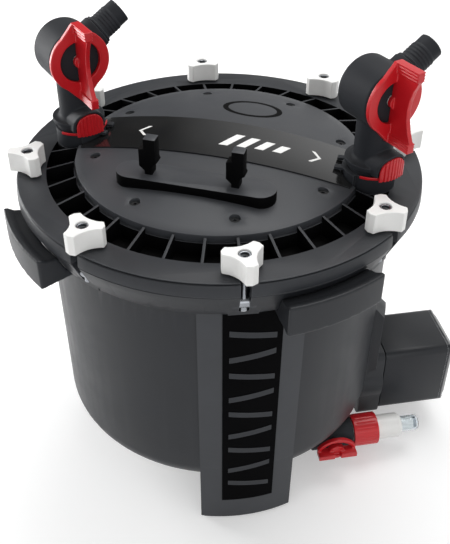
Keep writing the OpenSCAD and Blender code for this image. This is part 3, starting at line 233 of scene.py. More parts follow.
@dataclass(frozen=True)
class Finish:
    """A surface finish: its colour and gloss, with mould grain, mottle, rubbed edges, a painted edge highlight where
    a finish has one, and dust.

    Attributes:
        name: The material's name.
        shade: The colour, as "#rrggbb".
        roughness: Mean roughness.
        spread: How far the roughness varies over the surface.
        grain: Cells of fine grain in a metre.
        depth: Height of the grain, in millimetres.
        mottle: Share by which the colour varies slowly over the surface.
        wear: How far edges turn to their edge shade: rubbed edges, and on the motor cap a painted highlight.
        scuff_and_highlight_shade: The shade of a rubbed edge, and on the motor cap the colour of the painted
            highlight.
        dust: How much settled dust shows.
        metallic: 1 for metal.
        specular: The shader's specular level.
        coat: Weight of a clear gloss over the colour.
    """

    name: str
    shade: str
    roughness: float
    spread: float = 0.10
    grain: float = 1100.0
    depth: float = 0.03
    mottle: float = 0.10
    wear: float = 0.5
    scuff_and_highlight_shade: str = "#8a8d91"
    dust: float = 0.03
    metallic: float = 0.0
    specular: float = 0.5
    coat: float = 0.0

    def material(self) -> bpy.types.Material:
        """Builds the finish's material the first time it is asked for.

        Returns:
            The Blender material.
        """
        made = bpy.data.materials.get("finish_" + self.name)
        if made is None:
            made = bpy.data.materials.new("finish_" + self.name)
            made.use_nodes = True
            self._wire(made.node_tree)
        return made

    def _wire(self, tree: bpy.types.NodeTree) -> None:
        """Links the shared groups to the shader.

        Args:
            tree: The material's node tree, with its default shader.
        """
        nodes, link = tree.nodes, tree.links.new
        shader = nodes["Principled BSDF"]
        shader.inputs["Metallic"].default_value = self.metallic
        shader.inputs["Specular IOR Level"].default_value = self.specular
        shader.inputs["Coat Weight"].default_value = self.coat
        shader.inputs["Coat Roughness"].default_value = COAT_ROUGHNESS
        grain = self._group(tree, Groups.grain(), {"Scale": self.grain, "Mottle Scale": MOTTLE_CELLS})
        # edge mask: rubbed edges, and on the motor cap a painted highlight
        wear = self._group(tree, Groups.edge_wear(), {"Amount": self.wear, "Breakup": EDGE_MASK_CELLS})
        dust = self._group(tree, Groups.dust(), {"Amount": self.dust, "Scale": DUST_CELLS})
        base = self._colour(tree, grain)
        scuff_and_highlight_shade = self._mix(tree, wear.outputs["Mask"], base, linear(self.scuff_and_highlight_shade))
        dusty = self._mix(tree, dust.outputs["Mask"], scuff_and_highlight_shade, linear(DUST_SHADE))
        link(dusty, shader.inputs["Base Color"])
        rough = nodes.new("ShaderNodeMapRange")
        rough.inputs["From Min"].default_value = NOISE_LOW
        rough.inputs["From Max"].default_value = NOISE_HIGH
        rough.inputs["To Min"].default_value = max(0.02, self.roughness - self.spread / 2)
        rough.inputs["To Max"].default_value = self.roughness + self.spread / 2
        link(grain.outputs["Mottle"], rough.inputs["Value"])
        link(rough.outputs["Result"], shader.inputs["Roughness"])
        bump = nodes.new("ShaderNodeBump")
        bump.inputs["Strength"].default_value = 1.0
        bump.inputs["Distance"].default_value = self.depth * MM
        link(grain.outputs["Height"], bump.inputs["Height"])
        link(bump.outputs["Normal"], shader.inputs["Normal"])

    def _colour(self, tree: bpy.types.NodeTree, grain: bpy.types.Node) -> bpy.types.NodeSocket:
        """The finish's colour with its slow mottle.

        Args:
            tree: The material's node tree.
            grain: The placed grain group.

        Returns:
            The socket that carries the colour.
        """
        ramp = tree.nodes.new("ShaderNodeValToRGB")
        shade = linear(self.shade)
        ramp.color_ramp.elements[0].position = NOISE_LOW
        ramp.color_ramp.elements[1].position = NOISE_HIGH
        ramp.color_ramp.elements[0].color = (*[c * (1 - self.mottle) for c in shade[:3]], 1)
        ramp.color_ramp.elements[1].color = (*[c * (1 + self.mottle) for c in shade[:3]], 1)
        tree.links.new(grain.outputs["Mottle"], ramp.inputs["Fac"])
        return ramp.outputs["Color"]

    @staticmethod
    def _group(tree: bpy.types.NodeTree, group: bpy.types.NodeTree, values: dict[str, float]) -> bpy.types.Node:
        """Places a node group with its own values.

        Args:
            tree: The material's node tree.
            group: The group.
            values: Input names and their values.

        Returns:
            The placed node.
        """
        node = tree.nodes.new("ShaderNodeGroup")
        node.node_tree = group
        for label, value in values.items():
            node.inputs[label].default_value = value
        return node

    @staticmethod
    def _mix(
        tree: bpy.types.NodeTree, mask: bpy.types.NodeSocket, under: bpy.types.NodeSocket,
        over: tuple[float, float, float, float],
    ) -> bpy.types.NodeSocket:
        """Lays a colour over another where a mask says so.

        Args:
            tree: The material's node tree.
            mask: The socket with the share of the upper colour.
            under: The socket with the lower colour.
            over: The upper colour.

        Returns:
            The socket that carries the mixed colour.
        """
        mix = tree.nodes.new("ShaderNodeMix")
        mix.data_type = "RGBA"
        tree.links.new(mask, mix.inputs["Factor"])
        tree.links.new(under, mix.inputs["A"])
        mix.inputs["B"].default_value = over
        return mix.outputs["Result"]


@dataclass(frozen=True)
class ClearPlastic(Finish):
    """A clear moulded plastic, whose transmission stays plain on the shader."""

    def _wire(self, tree: bpy.types.NodeTree) -> None:
        """Adds transmission to the plain finish.

        Args:
            tree: The material's node tree, with its default shader.
        """
        super()._wire(tree)
        shader = tree.nodes["Principled BSDF"]
        shader.inputs["Transmission Weight"].default_value = 1.0
        shader.inputs["IOR"].default_value = 1.2


@dataclass(frozen=True)
class Porous(Finish):
    """A porous stuff, such as foam or ceramic media: cells sunk into the surface, with shade painted into them.

    Attributes:
        cell: Size of a cell, in millimetres.
    """

    cell: float = 2.0

    def _colour(self, tree: bpy.types.NodeTree, grain: bpy.types.Node) -> bpy.types.NodeSocket:
        """Paints shade into the cells, and sinks them by a bump.

        Args:
            tree: The material's node tree.
            grain: The placed grain group.

        Returns:
            The socket that carries the colour.
        """
        base = super()._colour(tree, grain)
        place = tree.nodes.new("ShaderNodeTexCoord")
        cells = tree.nodes.new("ShaderNodeTexVoronoi")
        cells.inputs["Scale"].default_value = 1 / (self.cell * MM)
        tree.links.new(place.outputs["Object"], cells.inputs["Vector"])
        sunk = tree.nodes.new("ShaderNodeBump")
        sunk.name = "cells"
        sunk.invert = True
        sunk.inputs["Distance"].default_value = self.cell * MM / 2
        tree.links.new(cells.outputs["Distance"], sunk.inputs["Height"])
        # painted shade, darker where the bump sinks the surface
        dark = tree.nodes.new("ShaderNodeMapRange")
        dark.inputs["From Max"].default_value = 0.8
        dark.inputs["To Max"].default_value = 0.7
        tree.links.new(cells.outputs["Distance"], dark.inputs["Value"])
        return self._mix(tree, dark.outputs["Result"], base, PAINTED_CELL_SHADE)

    def _wire(self, tree: bpy.types.NodeTree) -> None:
        """Puts the grain's bump over that of the cells.

        Args:
            tree: The material's node tree, with its default shader.
        """
        super()._wire(tree)
        for node in tree.nodes:
            if node.type == "BUMP" and node.name != "cells":
                tree.links.new(tree.nodes["cells"].outputs["Normal"], node.inputs["Normal"])


CHARCOAL = Finish("charcoal_plastic", "#25272b", 0.40, specular=0.25, wear=0.35, scuff_and_highlight_shade="#6d7075")
LID_GREY = Finish("lid_plastic", "#303236", 0.44, specular=0.25, wear=0.35, scuff_and_highlight_shade="#74777c")
# Painted shade: a near-black, dull finish laid on the lid's pockets and on the hook bracket's shaded faces; the
# cover's dark ring inlay takes it as its own colour.
SHADE_AND_INLAY_BLACK = Finish("painted_shade_and_inlay", "#060607", 0.60, specular=0.04, wear=0.1, scuff_and_highlight_shade="#4a4c50", dust=0.01)
COVER_GREY = Finish("cover_plastic", "#3c3e42", 0.42, specular=0.30, mottle=0.06, wear=0.35, scuff_and_highlight_shade="#7c7f84")
VALVE_GREY = Finish("valve_plastic", "#2c2e32", 0.54, specular=0.10, wear=0.4, scuff_and_highlight_shade="#7c7f84")
# Painted highlight: the cap's strong edge mask and pale edge shade paint light along its chamfered edges.
CAP_GREY = Finish("cap_plastic", "#232529", 0.30, specular=0.40, wear=1.6, scuff_and_highlight_shade="#c4c7cb")
MESH_GREY = Finish(
    "strainer_steel", "#a9adb2", 0.35, grain=900.0, depth=0.5, mottle=0.25, wear=0.4, scuff_and_highlight_shade="#ffffff", metallic=0.8,
    dust=0.0,
)
LEG_GREY = Finish("leg_plastic", "#393b3f", 0.44, specular=0.28, wear=0.0)
STRIP_BLACK = Finish("strip_black", "#050506", 0.62, specular=0.02, mottle=0.05, wear=0.05, scuff_and_highlight_shade="#3a3c3f", dust=0.0)
BLACK = Finish("black_plastic", "#17181a", 0.45, specular=0.30, scuff_and_highlight_shade="#5c5e62")
GLOSS_BLACK = Finish(
    "gloss_black", "#111214", 0.16, spread=0.05, depth=0.004, mottle=0.05, wear=0.25, coat=0.5, scuff_and_highlight_shade="#55585c"
)
WHITE = Finish("white_plastic", "#f1f1ef", 0.38, wear=0.2, scuff_and_highlight_shade="#ffffff", mottle=0.02, dust=0.05)
RED = Finish("red_plastic", "#c4121d", 0.36, wear=0.35, scuff_and_highlight_shade="#f0565c", mottle=0.06, coat=0.08)
STEEL = Finish(
    "steel", "#8e9196", 0.30, spread=0.14, grain=2600.0, depth=0.01, wear=0.4, scuff_and_highlight_shade="#ffffff", metallic=1.0, dust=0.0
)
BRONZE = Finish("bronze", "#b58a4a", 0.34, metallic=1.0, scuff_and_highlight_shade="#e5c58a", dust=0.0)
COPPER = Finish("copper", "#b4683a", 0.35, grain=1800.0, depth=0.12, metallic=1.0, scuff_and_highlight_shade="#e0a47c", dust=0.0)
MAGNET = Finish("magnet", "#2a2b2e", 0.50, metallic=0.6, scuff_and_highlight_shade="#6b6d70", dust=0.0)
RUBBER = Finish("rubber_black", "#141415", 0.72, depth=0.06, specular=0.25, scuff_and_highlight_shade="#3a3b3d", dust=0.06)
MARK_WHITE = Finish("mark_white", "#f2f2f0", 0.50, mottle=0.02, wear=0.1, scuff_and_highlight_shade="#cfcfcf", dust=0.0)
MARK_GREY = Finish("mark_grey", "#2d2f33", 0.46, mottle=0.05, wear=0.2, specular=0.20, dust=0.0)
FOAM = Porous("foam", "#2b2f33", 0.92, depth=0.2, wear=0.0, specular=0.1, dust=0.0, cell=1.6)
MEDIA = Porous("media", "#cfc6b4", 0.85, depth=0.2, wear=0.1, specular=0.2, dust=0.0, cell=9.0)
CLEAR = ClearPlastic(
    "clear_plastic", "#eef3f6", 0.06, spread=0.05, depth=0.004, mottle=0.02, wear=0.1, scuff_and_highlight_shade="#ffffff", dust=0.0
)


# ---------------------------------------------------------------- bench work

class Shaping(Enum):
    """How a moulded piece gets its final surface from its CAD shape."""

    ROUNDED = "every sharp edge gets a small radius"
    BLENDED = "the whole moulding is skinned anew, with soft inner and outer corners"
    CRISP = "its edges stay as they are cut, and its curved faces shade smooth"


class Bench:
    """Hand work on meshes with Blender's own operators."""

    @staticmethod
    def hold(piece: bpy.types.Object) -> None:
        """Selects one piece alone and makes it active.

        Args:
            piece: The piece.
        """
        bpy.ops.object.select_all(action="DESELECT")
        piece.select_set(True)
        bpy.context.view_layer.objects.active = piece

    @staticmethod
    def named(name: str) -> bpy.types.Object:
        """Names the active object and its mesh.

        Args:
            name: The name for both.

        Returns:
            The active object.
        """
        piece = bpy.context.object
        piece.name = name
        piece.data.name = name
        return piece

    @classmethod
    def start(cls) -> None:
        """Leaves nothing selected, ready for a new primitive."""
        bpy.ops.object.select_all(action="DESELECT")

    @classmethod
    def shape_of(cls, node: str, name: str) -> bpy.types.Object:
        """Copies a CAD node's mesh to a new piece and joins its loose triangles.

        Args:
            node: The CAD node.
            name: The new piece's name.

        Returns:
            The new piece, with closed walls.
        """
        piece = bpy.data.objects.new(name, FRAME["nodes"][node].data.copy())
        piece.data.name = name
        bpy.context.scene.collection.objects.link(piece)
        cls.hold(piece)
        if piece.data.has_custom_normals:
            bpy.ops.mesh.customdata_custom_splitnormals_clear()
        bpy.ops.object.mode_set(mode="EDIT")
        bpy.ops.mesh.select_all(action="SELECT")
        bpy.ops.mesh.remove_doubles(threshold=0.004 * MM)
        bpy.ops.object.mode_set(mode="OBJECT")
        return piece

    @classmethod
    def join_flats(cls, piece: bpy.types.Object) -> None:
        """Joins triangles that lie in one plane.

        Args:
            piece: The piece.
        """
        cls.hold(piece)
        bpy.ops.object.mode_set(mode="EDIT")
        bpy.ops.mesh.select_all(action="SELECT")
        bpy.ops.mesh.dissolve_limited(angle_limit=math.radians(0.5))
        bpy.ops.object.mode_set(mode="OBJECT")

    @classmethod
    def apply_all(cls, piece: bpy.types.Object) -> None:
        """Applies the piece's modifiers in their order.

        Args:
            piece: The piece.
        """
        cls.hold(piece)
        for modifier in list(piece.modifiers):
            bpy.ops.object.modifier_apply(modifier=modifier.name)

    @classmethod
    def round_edges(cls, piece: bpy.types.Object, radius: float, steps: int = 2, angle: float = 32.0) -> None:
        """Rounds every edge that is sharper than an angle.

        Args:
            piece: The piece.
            radius: The width of the round, in millimetres.
            steps: Number of faces across it.
            angle: The least angle between the faces, in degrees.
        """
        bevel = piece.modifiers.new("Round", "BEVEL")
        bevel.width = radius * MM
        bevel.segments = steps
        bevel.limit_method = "ANGLE"
        bevel.angle_limit = math.radians(angle)
        bevel.use_clamp_overlap = True
        cls.apply_all(piece)
        cls.smooth(piece)

    @classmethod
    def smooth(cls, piece: bpy.types.Object, angle: float = 30.0) -> None:
        """Shades the piece smooth except over sharp edges.

        Args:
            piece: The piece.
            angle: The least angle of a sharp edge, in degrees.
        """
        cls.hold(piece)
        bpy.ops.object.shade_smooth_by_angle(angle=math.radians(angle))

    @classmethod
    def skin_anew(cls, piece: bpy.types.Object, cell: float, passes: int, keep: float) -> None:
        """Skins a piece with small even faces and softens its corners.

        Args:
            piece: The piece, with closed walls.
            cell: Size of a face, in millimetres.
            passes: Number of smoothing passes.
            keep: Share of the faces that stay.
        """
        voxels = piece.modifiers.new("Skin", "REMESH")
        voxels.mode = "VOXEL"
        voxels.voxel_size = cell * MM
        soften = piece.modifiers.new("Soften", "SMOOTH")
        soften.factor = 0.5
        soften.iterations = passes
        thin = piece.modifiers.new("Thin", "DECIMATE")
        thin.ratio = keep
        cls.apply_all(piece)
        cls.smooth(piece, 50.0)

    @classmethod
    def drape_on(cls, piece: bpy.types.Object, target: bpy.types.Object, thickness: float) -> None:
        """Lays a thin sheet on a surface and gives it its thickness.

        Args:
            piece: A flat mesh over the surface.
            target: What it lies on.
            thickness: Its thickness, in millimetres.
        """
        wrap = piece.modifiers.new("Lay", "SHRINKWRAP")
        wrap.target = target
        wrap.wrap_method = "NEAREST_SURFACEPOINT"
        wrap.wrap_mode = "ABOVE_SURFACE"
        wrap.offset = 0.0
        solid = piece.modifiers.new("Thicken", "SOLIDIFY")
        solid.thickness = thickness * MM
        solid.offset = 1.0
        cls.apply_all(piece)
        cls.smooth(piece)

    @staticmethod
    def settle(piece: bpy.types.Object) -> None:
        """Moves the piece's place, turn and scale into its mesh.

        Args:
            piece: The piece.
        """
        bpy.context.view_layer.update()
        piece.data.transform(piece.matrix_world)
        piece.matrix_world = Matrix.Identity(4)


@dataclass(frozen=True)
class Moulding:
    """One piece that takes its form from a CAD node.

    Attributes:
        node: The CAD node that it stands for.
        finish: Its finish.
        shaping: How its surface is finished.
        radius: Radius of its edges, or size of its skin's faces, in millimetres.
        passes: Smoothing passes of a new skin, or faces across a rounded edge.
        keep: Share of a new skin's faces that stay.
    """

    node: str
    finish: Finish
    shaping: Shaping = Shaping.ROUNDED
    radius: float = 0.5
    passes: int = 2
    keep: float = 0.5

    def build(self) -> bpy.types.Object:
        """Makes the piece, dresses it and lets it ride in place of its CAD node.

        Returns:
            The finished piece.
        """
        piece = Bench.shape_of(self.node, self.node + "_skin")
        if self.shaping is Shaping.ROUNDED:
            Bench.join_flats(piece)
            Bench.round_edges(piece, self.radius, self.passes)
        elif self.shaping is Shaping.CRISP:
            Bench.smooth(piece)
        else:
            Bench.skin_anew(piece, self.radius, self.passes, self.keep)
        dress(piece, self.finish, body_of(self.node))
        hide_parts(self.node)
        LOG.info("%s: %d faces", piece.name, len(piece.data.polygons))
        return piece


def body_of(node: str) -> str:
    """Finds the body that carries a CAD node.

    Args:
        node: The CAD node.

    Returns:
        The body's name.
    """
    return FRAME["nodes"][node]["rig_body"]


def dress(piece: bpy.types.Object, finish: Finish, body: str) -> None:
    """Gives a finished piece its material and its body.

    Args:
        piece: The piece, in place.
        finish: Its finish.
        body: The body that it rides on.
    """
    piece.data.materials.clear()
    piece.data.materials.append(finish.material())
    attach(piece, body)


def paint(finish: Finish, *nodes: str) -> None:
    """Gives CAD nodes that keep their own mesh a finish.

    Args:
        finish: The finish.
        nodes: The CAD nodes' names.
    """
    for node in nodes:
        for slot in FRAME["nodes"][node].material_slots:
            slot.material = finish.material()


# ---------------------------------------------------------------- sub-assemblies

@dataclass
class Bucket:
    """The round bucket with its rim, grip lugs, legs and front strip.

    Attributes:
        rim_round: Radius of the bucket's edges, in millimetres.
        lug_cell: Size of a face on the grip lugs, in millimetres.
        leg_proud: Scale that lets the legs stand just proud of the bucket's wall.
        bar_count: Number of bars on the front strip.
        bar_height: Height of a bar, in millimetres.
        bar_thickness: Thickness of a bar, in millimetres.
        bar_share: Length of a bar as a share of the strip's width.
        bar_slant: Lean of a bar, in degrees.
        bar_start: How far in front of the strip a bar is made before it is laid on, in millimetres.
    """

    rim_round: float = 0.9
    lug_cell: float = 1.1
    leg_proud: float = 1.0018
    bar_count: int = 9
    bar_height: float = 6.0
    bar_thickness: float = 0.25
    bar_share: float = 0.74
    bar_slant: float = 9.0
    bar_start: float = 4.0

    def build(self) -> None:
        """Builds and dresses the bucket."""
        Moulding("canister_shell", CHARCOAL, radius=self.rim_round).build()
        Moulding("grip_lugs", CHARCOAL, Shaping.BLENDED, self.lug_cell, 6, 0.5).build()
        legs = Moulding("leg_columns", LEG_GREY, Shaping.CRISP).build()
        legs.data.transform(Matrix.Diagonal((self.leg_proud, self.leg_proud, 1, 1)))
        strip = Moulding("front_strip", STRIP_BLACK, Shaping.CRISP).build()
        paint(RUBBER, "foot_pads", "canister_seals")
        paint(STEEL, "lid_studs", "barrel_nuts")
        self.strip_bars(strip)

    def strip_bars(self, strip: bpy.types.Object) -> None:
        """Lays plain slanted bars on the front strip.

        Args:
            strip: The strip that carries them.
        """
        low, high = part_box("front_strip")
        middle = (low + high) / 2
        outward = Vector((middle.x, middle.y, 0)).normalized()
        along = Vector((-outward.y, outward.x, 0))
        width = self.bar_share * Vector((high.x - low.x, high.y - low.y, 0)).length
        pitch = (high.z - low.z) / (self.bar_count + 1)
        for index in range(self.bar_count):
            Bench.start()
            centre = middle + outward * self.bar_start * MM
            centre.z = low.z + pitch * (index + 1)
            bpy.ops.mesh.primitive_grid_add(x_subdivisions=12, y_subdivisions=3, size=1.0)
            bar = Bench.named(f"strip_bar_{index + 1}")
            turn = Matrix((along, Vector((0, 0, 1)), outward)).transposed().to_4x4()
            tall = self.bar_height * MM
            slant = Matrix.Identity(4)
            way = 1 if index % 2 else -1
            slant[1][0] = math.tan(math.radians(self.bar_slant)) * width / tall * way
            bar.data.transform(Matrix.Diagonal((width, tall, 1, 1)) @ slant)
            bar.data.transform(Matrix.Translation(centre) @ turn)
            Bench.drape_on(bar, strip, self.bar_thickness)
            dress(bar, MARK_GREY, "canister")


MARK_THICKNESS = 0.15  # millimetres, of a mark on the band


@dataclass
class Lid:
    """The bolted lid: its flange and pockets, domed cover, band and hooks. All lengths are in millimetres.

    Attributes:
        flange_round: Radius of the lid shell's edges.
        cover_round: Radius of the cover's edges.
        hook_round: Radius of the hook bracket's edges.
        port_round: Radius of the hose ports' edges.
        pad_top: Height of the hooks' pad.
        post_top: Height of the hooks' posts.
        ring_at: X and Y of the ring's middle on the cover.
        ring_size: Length and width of the ring.
        ring_line: Width of the ring's line, as a share of its size.
        ring_thickness: Thickness of the ring.
        pocket_radii: Inner and outer radius of the ring of pockets.
        pocket_heights: Heights of the pockets' floor and mouth.
    """

    flange_round: float = 0.35
    cover_round: float = 0.5
    hook_round: float = 0.5
    port_round: float = 0.6
    pad_top: float = 337.9
    post_top: float = 370.4
    ring_at: tuple[float, float] = (12.0, 72.0)
    ring_size: tuple[float, float] = (58.0, 40.0)
    ring_line: float = 0.09
    ring_thickness: float = 0.12
    pocket_radii: tuple[float, float] = (129.6, 154.3)
    pocket_heights: tuple[float, float] = (302.6, 321.0)

    def build(self) -> None:
        """Builds and dresses the lid."""
        shell = Moulding("lid_shell", LID_GREY, radius=self.flange_round).build()
        self.paint_pocket_shade(shell)
        self.ring_inlay(Moulding("lid_cover", COVER_GREY, radius=self.cover_round).build())
        band = Moulding("lid_band", GLOSS_BLACK, Shaping.CRISP).build()
        self.paint_hook_shade(Moulding("hook_bracket", COVER_GREY, radius=self.hook_round).build())
        paint(BLACK, "cover_screws")
        paint(RUBBER, "lid_seal")
        for port in ("inlet_port", "outlet_port"):
            Moulding(port, VALVE_GREY, radius=self.port_round).build()
        self.band_marks(band)

    def paint_hook_shade(self, bracket: bpy.types.Object) -> None:
        """Paints shade on the two posts and the pad's side wall, all but the posts' flat tops, with the near-black
        finish.

        Args:
            bracket: The hook bracket.
        """
        bracket.data.materials.append(SHADE_AND_INLAY_BLACK.material())
        for face in bracket.data.polygons:
            height = face.center.z / MM
            on_post = self.pad_top + 0.4 < height < self.post_top - 1.0
            # faces that don't look up, and the posts' sides, take the painted shade; the posts' flat tops keep the
            # cover's grey
            if on_post or face.normal.z < 0.6:
                face.material_index = 1

    def ring_inlay(self, cover: bpy.types.Object) -> None:
        """Lays a plain dark oval ring on the cover, behind the band.

        Args:
            cover: The domed cover.
        """
        Bench.start()
        bpy.ops.mesh.primitive_circle_add(vertices=96, radius=0.5, fill_type="NGON")
        ring = Bench.named("cover_ring")
        bpy.ops.object.mode_set(mode="EDIT")
        bpy.ops.mesh.select_all(action="SELECT")
        bpy.ops.mesh.inset(thickness=self.ring_line)
        bpy.ops.mesh.delete(type="FACE")
        bpy.ops.object.mode_set(mode="OBJECT")
        length, width = self.ring_size
        ring.data.transform(Matrix.Diagonal((length * MM, width * MM, 1, 1)))
        lift = (self.pad_top + 2) * MM
        ring.data.transform(Matrix.Translation((self.ring_at[0] * MM, self.ring_at[1] * MM, lift)))
        Bench.drape_on(ring, cover, self.ring_thickness)
        dress(ring, SHADE_AND_INLAY_BLACK, "lid")

    def paint_pocket_shade(self, shell: bpy.types.Object) -> None:
        """Paints shade on the floors and walls of the ring of pockets, with a near-black, duller finish.

        Args:
            shell: The lid's shell.
        """
        shell.data.materials.append(SHADE_AND_INLAY_BLACK.material())
        low, high = self.pocket_heights
        for face in shell.data.polygons:
            reach = math.hypot(face.center.x, face.center.y) / MM
            height = face.center.z / MM
            inside = self.pocket_radii[0] < reach < self.pocket_radii[1] and low < height < high
            # the pockets' walls and floors take the painted shade
            if inside and (face.normal.z < 0.5 or height < low + 2):
                face.material_index = 1

    def band_marks(self, band: bpy.types.Object) -> None:
        """Lays plain white marks on the band: slanted bars in the middle and a flow arrow at each port.

        Args:
            band: The band that carries them.
        """
        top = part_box("lid_band")[1].z + 2 * MM
        for index in range(4):
            self.mark(f"band_bar_{index + 1}", band, (12 + 15 * index, -2, top), (8, 21 - 3 * index), 28)
        for name, middle, way in (("inlet", -72.0, -1), ("outlet", 88.0, 1)):
            for half, side in (("low", -1), ("high", 1)):
                place = (middle, side * 4.2, top)
                self.mark(f"{name}_arrow_{half}", band, place, (3, 9), -side * way * 40)

    @staticmethod
    def mark(
        name: str, band: bpy.types.Object, place: tuple[float, float, float], size: tuple[float, float], slant: float
    ) -> None:
        """Lays one thin slanted bar on the band.

        Args:
            name: The mark's name.
            band: What it lies on.
            place: X and Y of its middle in millimetres, and a height over the band in metres.
            size: Its width and length, in millimetres.
            slant: Lean of its length from +Y towards +X, in degrees.
        """
        Bench.start()
        bpy.ops.mesh.primitive_grid_add(x_subdivisions=6, y_subdivisions=10, size=1.0)
        piece = Bench.named(name)
        lean = Matrix.Identity(4)
        lean[0][1] = math.tan(math.radians(slant)) * size[1] / size[0]
        piece.data.transform(Matrix.Diagonal((size[0] * MM, size[1] * MM, 1, 1)) @ lean)
        piece.data.transform(Matrix.Translation((place[0] * MM, place[1] * MM, place[2])))
        Bench.drape_on(piece, band, MARK_THICKNESS)
        dress(piece, MARK_WHITE, "lid")


@dataclass
class LidKnob:
    """One three-lobed knob of the lid, with the steel insert round its stud. All lengths are in millimetres.

    Attributes:
        index: The knob's number, from 1.
        cell: Size of a face on the knob.
        circle_r: Radius of the circle that the knobs stand on.
        first_angle: Azimuth of knob 1, in degrees.
        pitch: Angle from one knob to the next, in degrees.
        insert_r: Outer radius of the insert.
        insert_h: Height of the insert.
        insert_wall: Wall of the insert.
        insert_sink: Depth of the insert's top below the knob's.
    """

    index: int
    cell: float = 0.55
    circle_r: float = 168.0
    first_angle: float = 22.5
    pitch: float = 45.0
    insert_r: float = 5.0
    insert_h: float = 2.6
    insert_wall: float = 1.8
    insert_sink: float = 1.2

    def build(self) -> None:
        """Builds the knob and its insert."""
        node = f"knob_{self.index}"
        Moulding(node, WHITE, Shaping.BLENDED, self.cell, 5, 0.4).build()
        angle = math.radians(self.first_angle + self.pitch * (self.index - 1))
        stud = Vector((math.cos(angle), math.sin(angle), 0)) * self.circle_r * MM
        Bench.start()
        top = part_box(node)[1].z - self.insert_sink * MM
        bpy.ops.mesh.primitive_cylinder_add(
            vertices=24, radius=self.insert_r * MM, depth=self.insert_h * MM,
            location=(stud.x, stud.y, top - self.insert_h * MM / 2), end_fill_type="NOTHING",
        )
        insert = Bench.named(f"knob_insert_{self.index}")
        solid = insert.modifiers.new("Wall", "SOLIDIFY")
        solid.thickness = self.insert_wall * MM
        solid.offset = -1.0
        Bench.settle(insert)
        Bench.round_edges(insert, 0.3)
        dress(insert, STEEL, body_of(node))


class Side(Enum):
    """Which hose valve: its name in the nodes."""

    INLET = "inlet"
    OUTLET = "outlet"


@dataclass
class HoseValve:
    """One quarter-turn hose valve: drum, nozzle, red lever and release tab.

    Attributes:
        side: Which valve it is.
        body_cell: Size of a face on the drum and neck, in millimetres.
        nozzle_cell: Size of a face on the nozzle.
        lever_cell: Size of a face on the lever.
        tab_cell: Size of a face on the release tab.
    """

    side: Side
    body_cell: float = 0.6
    nozzle_cell: float = 0.5
    lever_cell: float = 0.5
    tab_cell: float = 0.35

    def build(self) -> None:
        """Builds and dresses the valve."""
        name = self.side.value
        Moulding(f"{name}_valve_body", VALVE_GREY, Shaping.BLENDED, self.body_cell, 4, 0.5).build()
        Moulding(f"{name}_nozzle", VALVE_GREY, Shaping.BLENDED, self.nozzle_cell, 2, 0.4).build()
        Moulding(f"{name}_lever", RED, Shaping.BLENDED, self.lever_cell, 3, 0.5).build()
        Moulding(f"{name}_tab", RED, Shaping.BLENDED, self.tab_cell, 2, 0.5).build()
        paint(WHITE, f"{name}_ball")


@dataclass
class PurgeLine:
    """The purge valve at the foot: pipe, body, knob, lock nut, nozzle and clear cap.

    Attributes:
        cell: Size of a face on the small pieces' skins, in millimetres.
        body_cell: Size of a face on the valve body's skin, in millimetres.
        azimuth: Way that the line points, in degrees.
        offset: Distance of the line from the bucket's axis, in millimetres.
        height: Height of the line, in millimetres.
        strainer_x: Place of the strainer along the line, in millimetres.
        strainer_r: Radius of the strainer, in millimetres.
        strainer_l: Length of the strainer, in millimetres.
        strainer_rib: Width of the strainer's wires, in millimetres.
    """

    cell: float = 0.5
    body_cell: float = 0.6
    azimuth: float = 26.0
    offset: float = 95.0
    height: float = 35.0
    strainer_x: float = 189.2
    strainer_r: float = 5.6
    strainer_l: float = 3.4
    strainer_rib: float = 0.25

    def build(self) -> None:
        """Builds and dresses the purge line."""
        Moulding("purge_pipe", CHARCOAL, radius=0.5).build()
        Moulding("purge_valve_body", VALVE_GREY, Shaping.BLENDED, self.body_cell, 4, 0.5).build()
        Moulding("purge_knob", RED, Shaping.BLENDED, self.cell, 3, 0.5).build()
        Moulding("purge_lock_nut", RED, Shaping.BLENDED, self.cell, 3, 0.5).build()
        Moulding("purge_nozzle", WHITE, Shaping.BLENDED, self.cell, 3, 0.5).build()
        paint(WHITE, "purge_ball")
        paint(CLEAR, "purge_cap")
        self.strainer()

    def strainer(self) -> None:
        """Adds the small wire strainer that shows through the clear cap."""
        turn = math.radians(self.azimuth)
        along = Vector((math.cos(turn), math.sin(turn), 0))
        aside = Vector((-math.sin(turn), math.cos(turn), 0))
        place = along * self.strainer_x - aside * self.offset + Vector((0, 0, self.height))
        Bench.start()
        bpy.ops.mesh.primitive_cylinder_add(
            vertices=32, radius=self.strainer_r * MM, depth=self.strainer_l * MM, location=place * MM,
            rotation=(0, math.radians(90), turn), end_fill_type="NGON",
        )
        sieve = Bench.named("purge_strainer")
        bpy.ops.object.mode_set(mode="EDIT")
        bpy.ops.mesh.select_all(action="SELECT")
        bpy.ops.mesh.inset(thickness=self.strainer_rib * MM, depth=-0.12 * MM, use_individual=True)
        bpy.ops.object.mode_set(mode="OBJECT")
        Bench.settle(sieve)
        Bench.round_edges(sieve, 0.1)
        dress(sieve, MESH_GREY, body_of("purge_cap"))


@dataclass
class PumpMotor:
    """The motor box with its end cap and gland, and the pump inside.

    Attributes:
        box_round: Radius of the box's edges, in millimetres.
    """

    box_round: float = 0.6

    def build(self) -> None:
        """Builds and dresses the motor and the pump."""
        Moulding("motor_housing", CHARCOAL, radius=self.box_round).build()
        Moulding("motor_end_cap", CAP_GREY, radius=self.box_round).build()
        Moulding("cable_gland", BLACK, radius=0.5).build()
        paint(STEEL, "motor_screws", "impeller_shaft")
        paint(COPPER, "stator_core")
        paint(BLACK, "rotor_can", "impeller_cover", "riser_tube")
        paint(BRONZE, "shaft_bushes")
        paint(MAGNET, "rotor_magnet")
        Moulding("impeller_wheel", WHITE, radius=0.2).build()


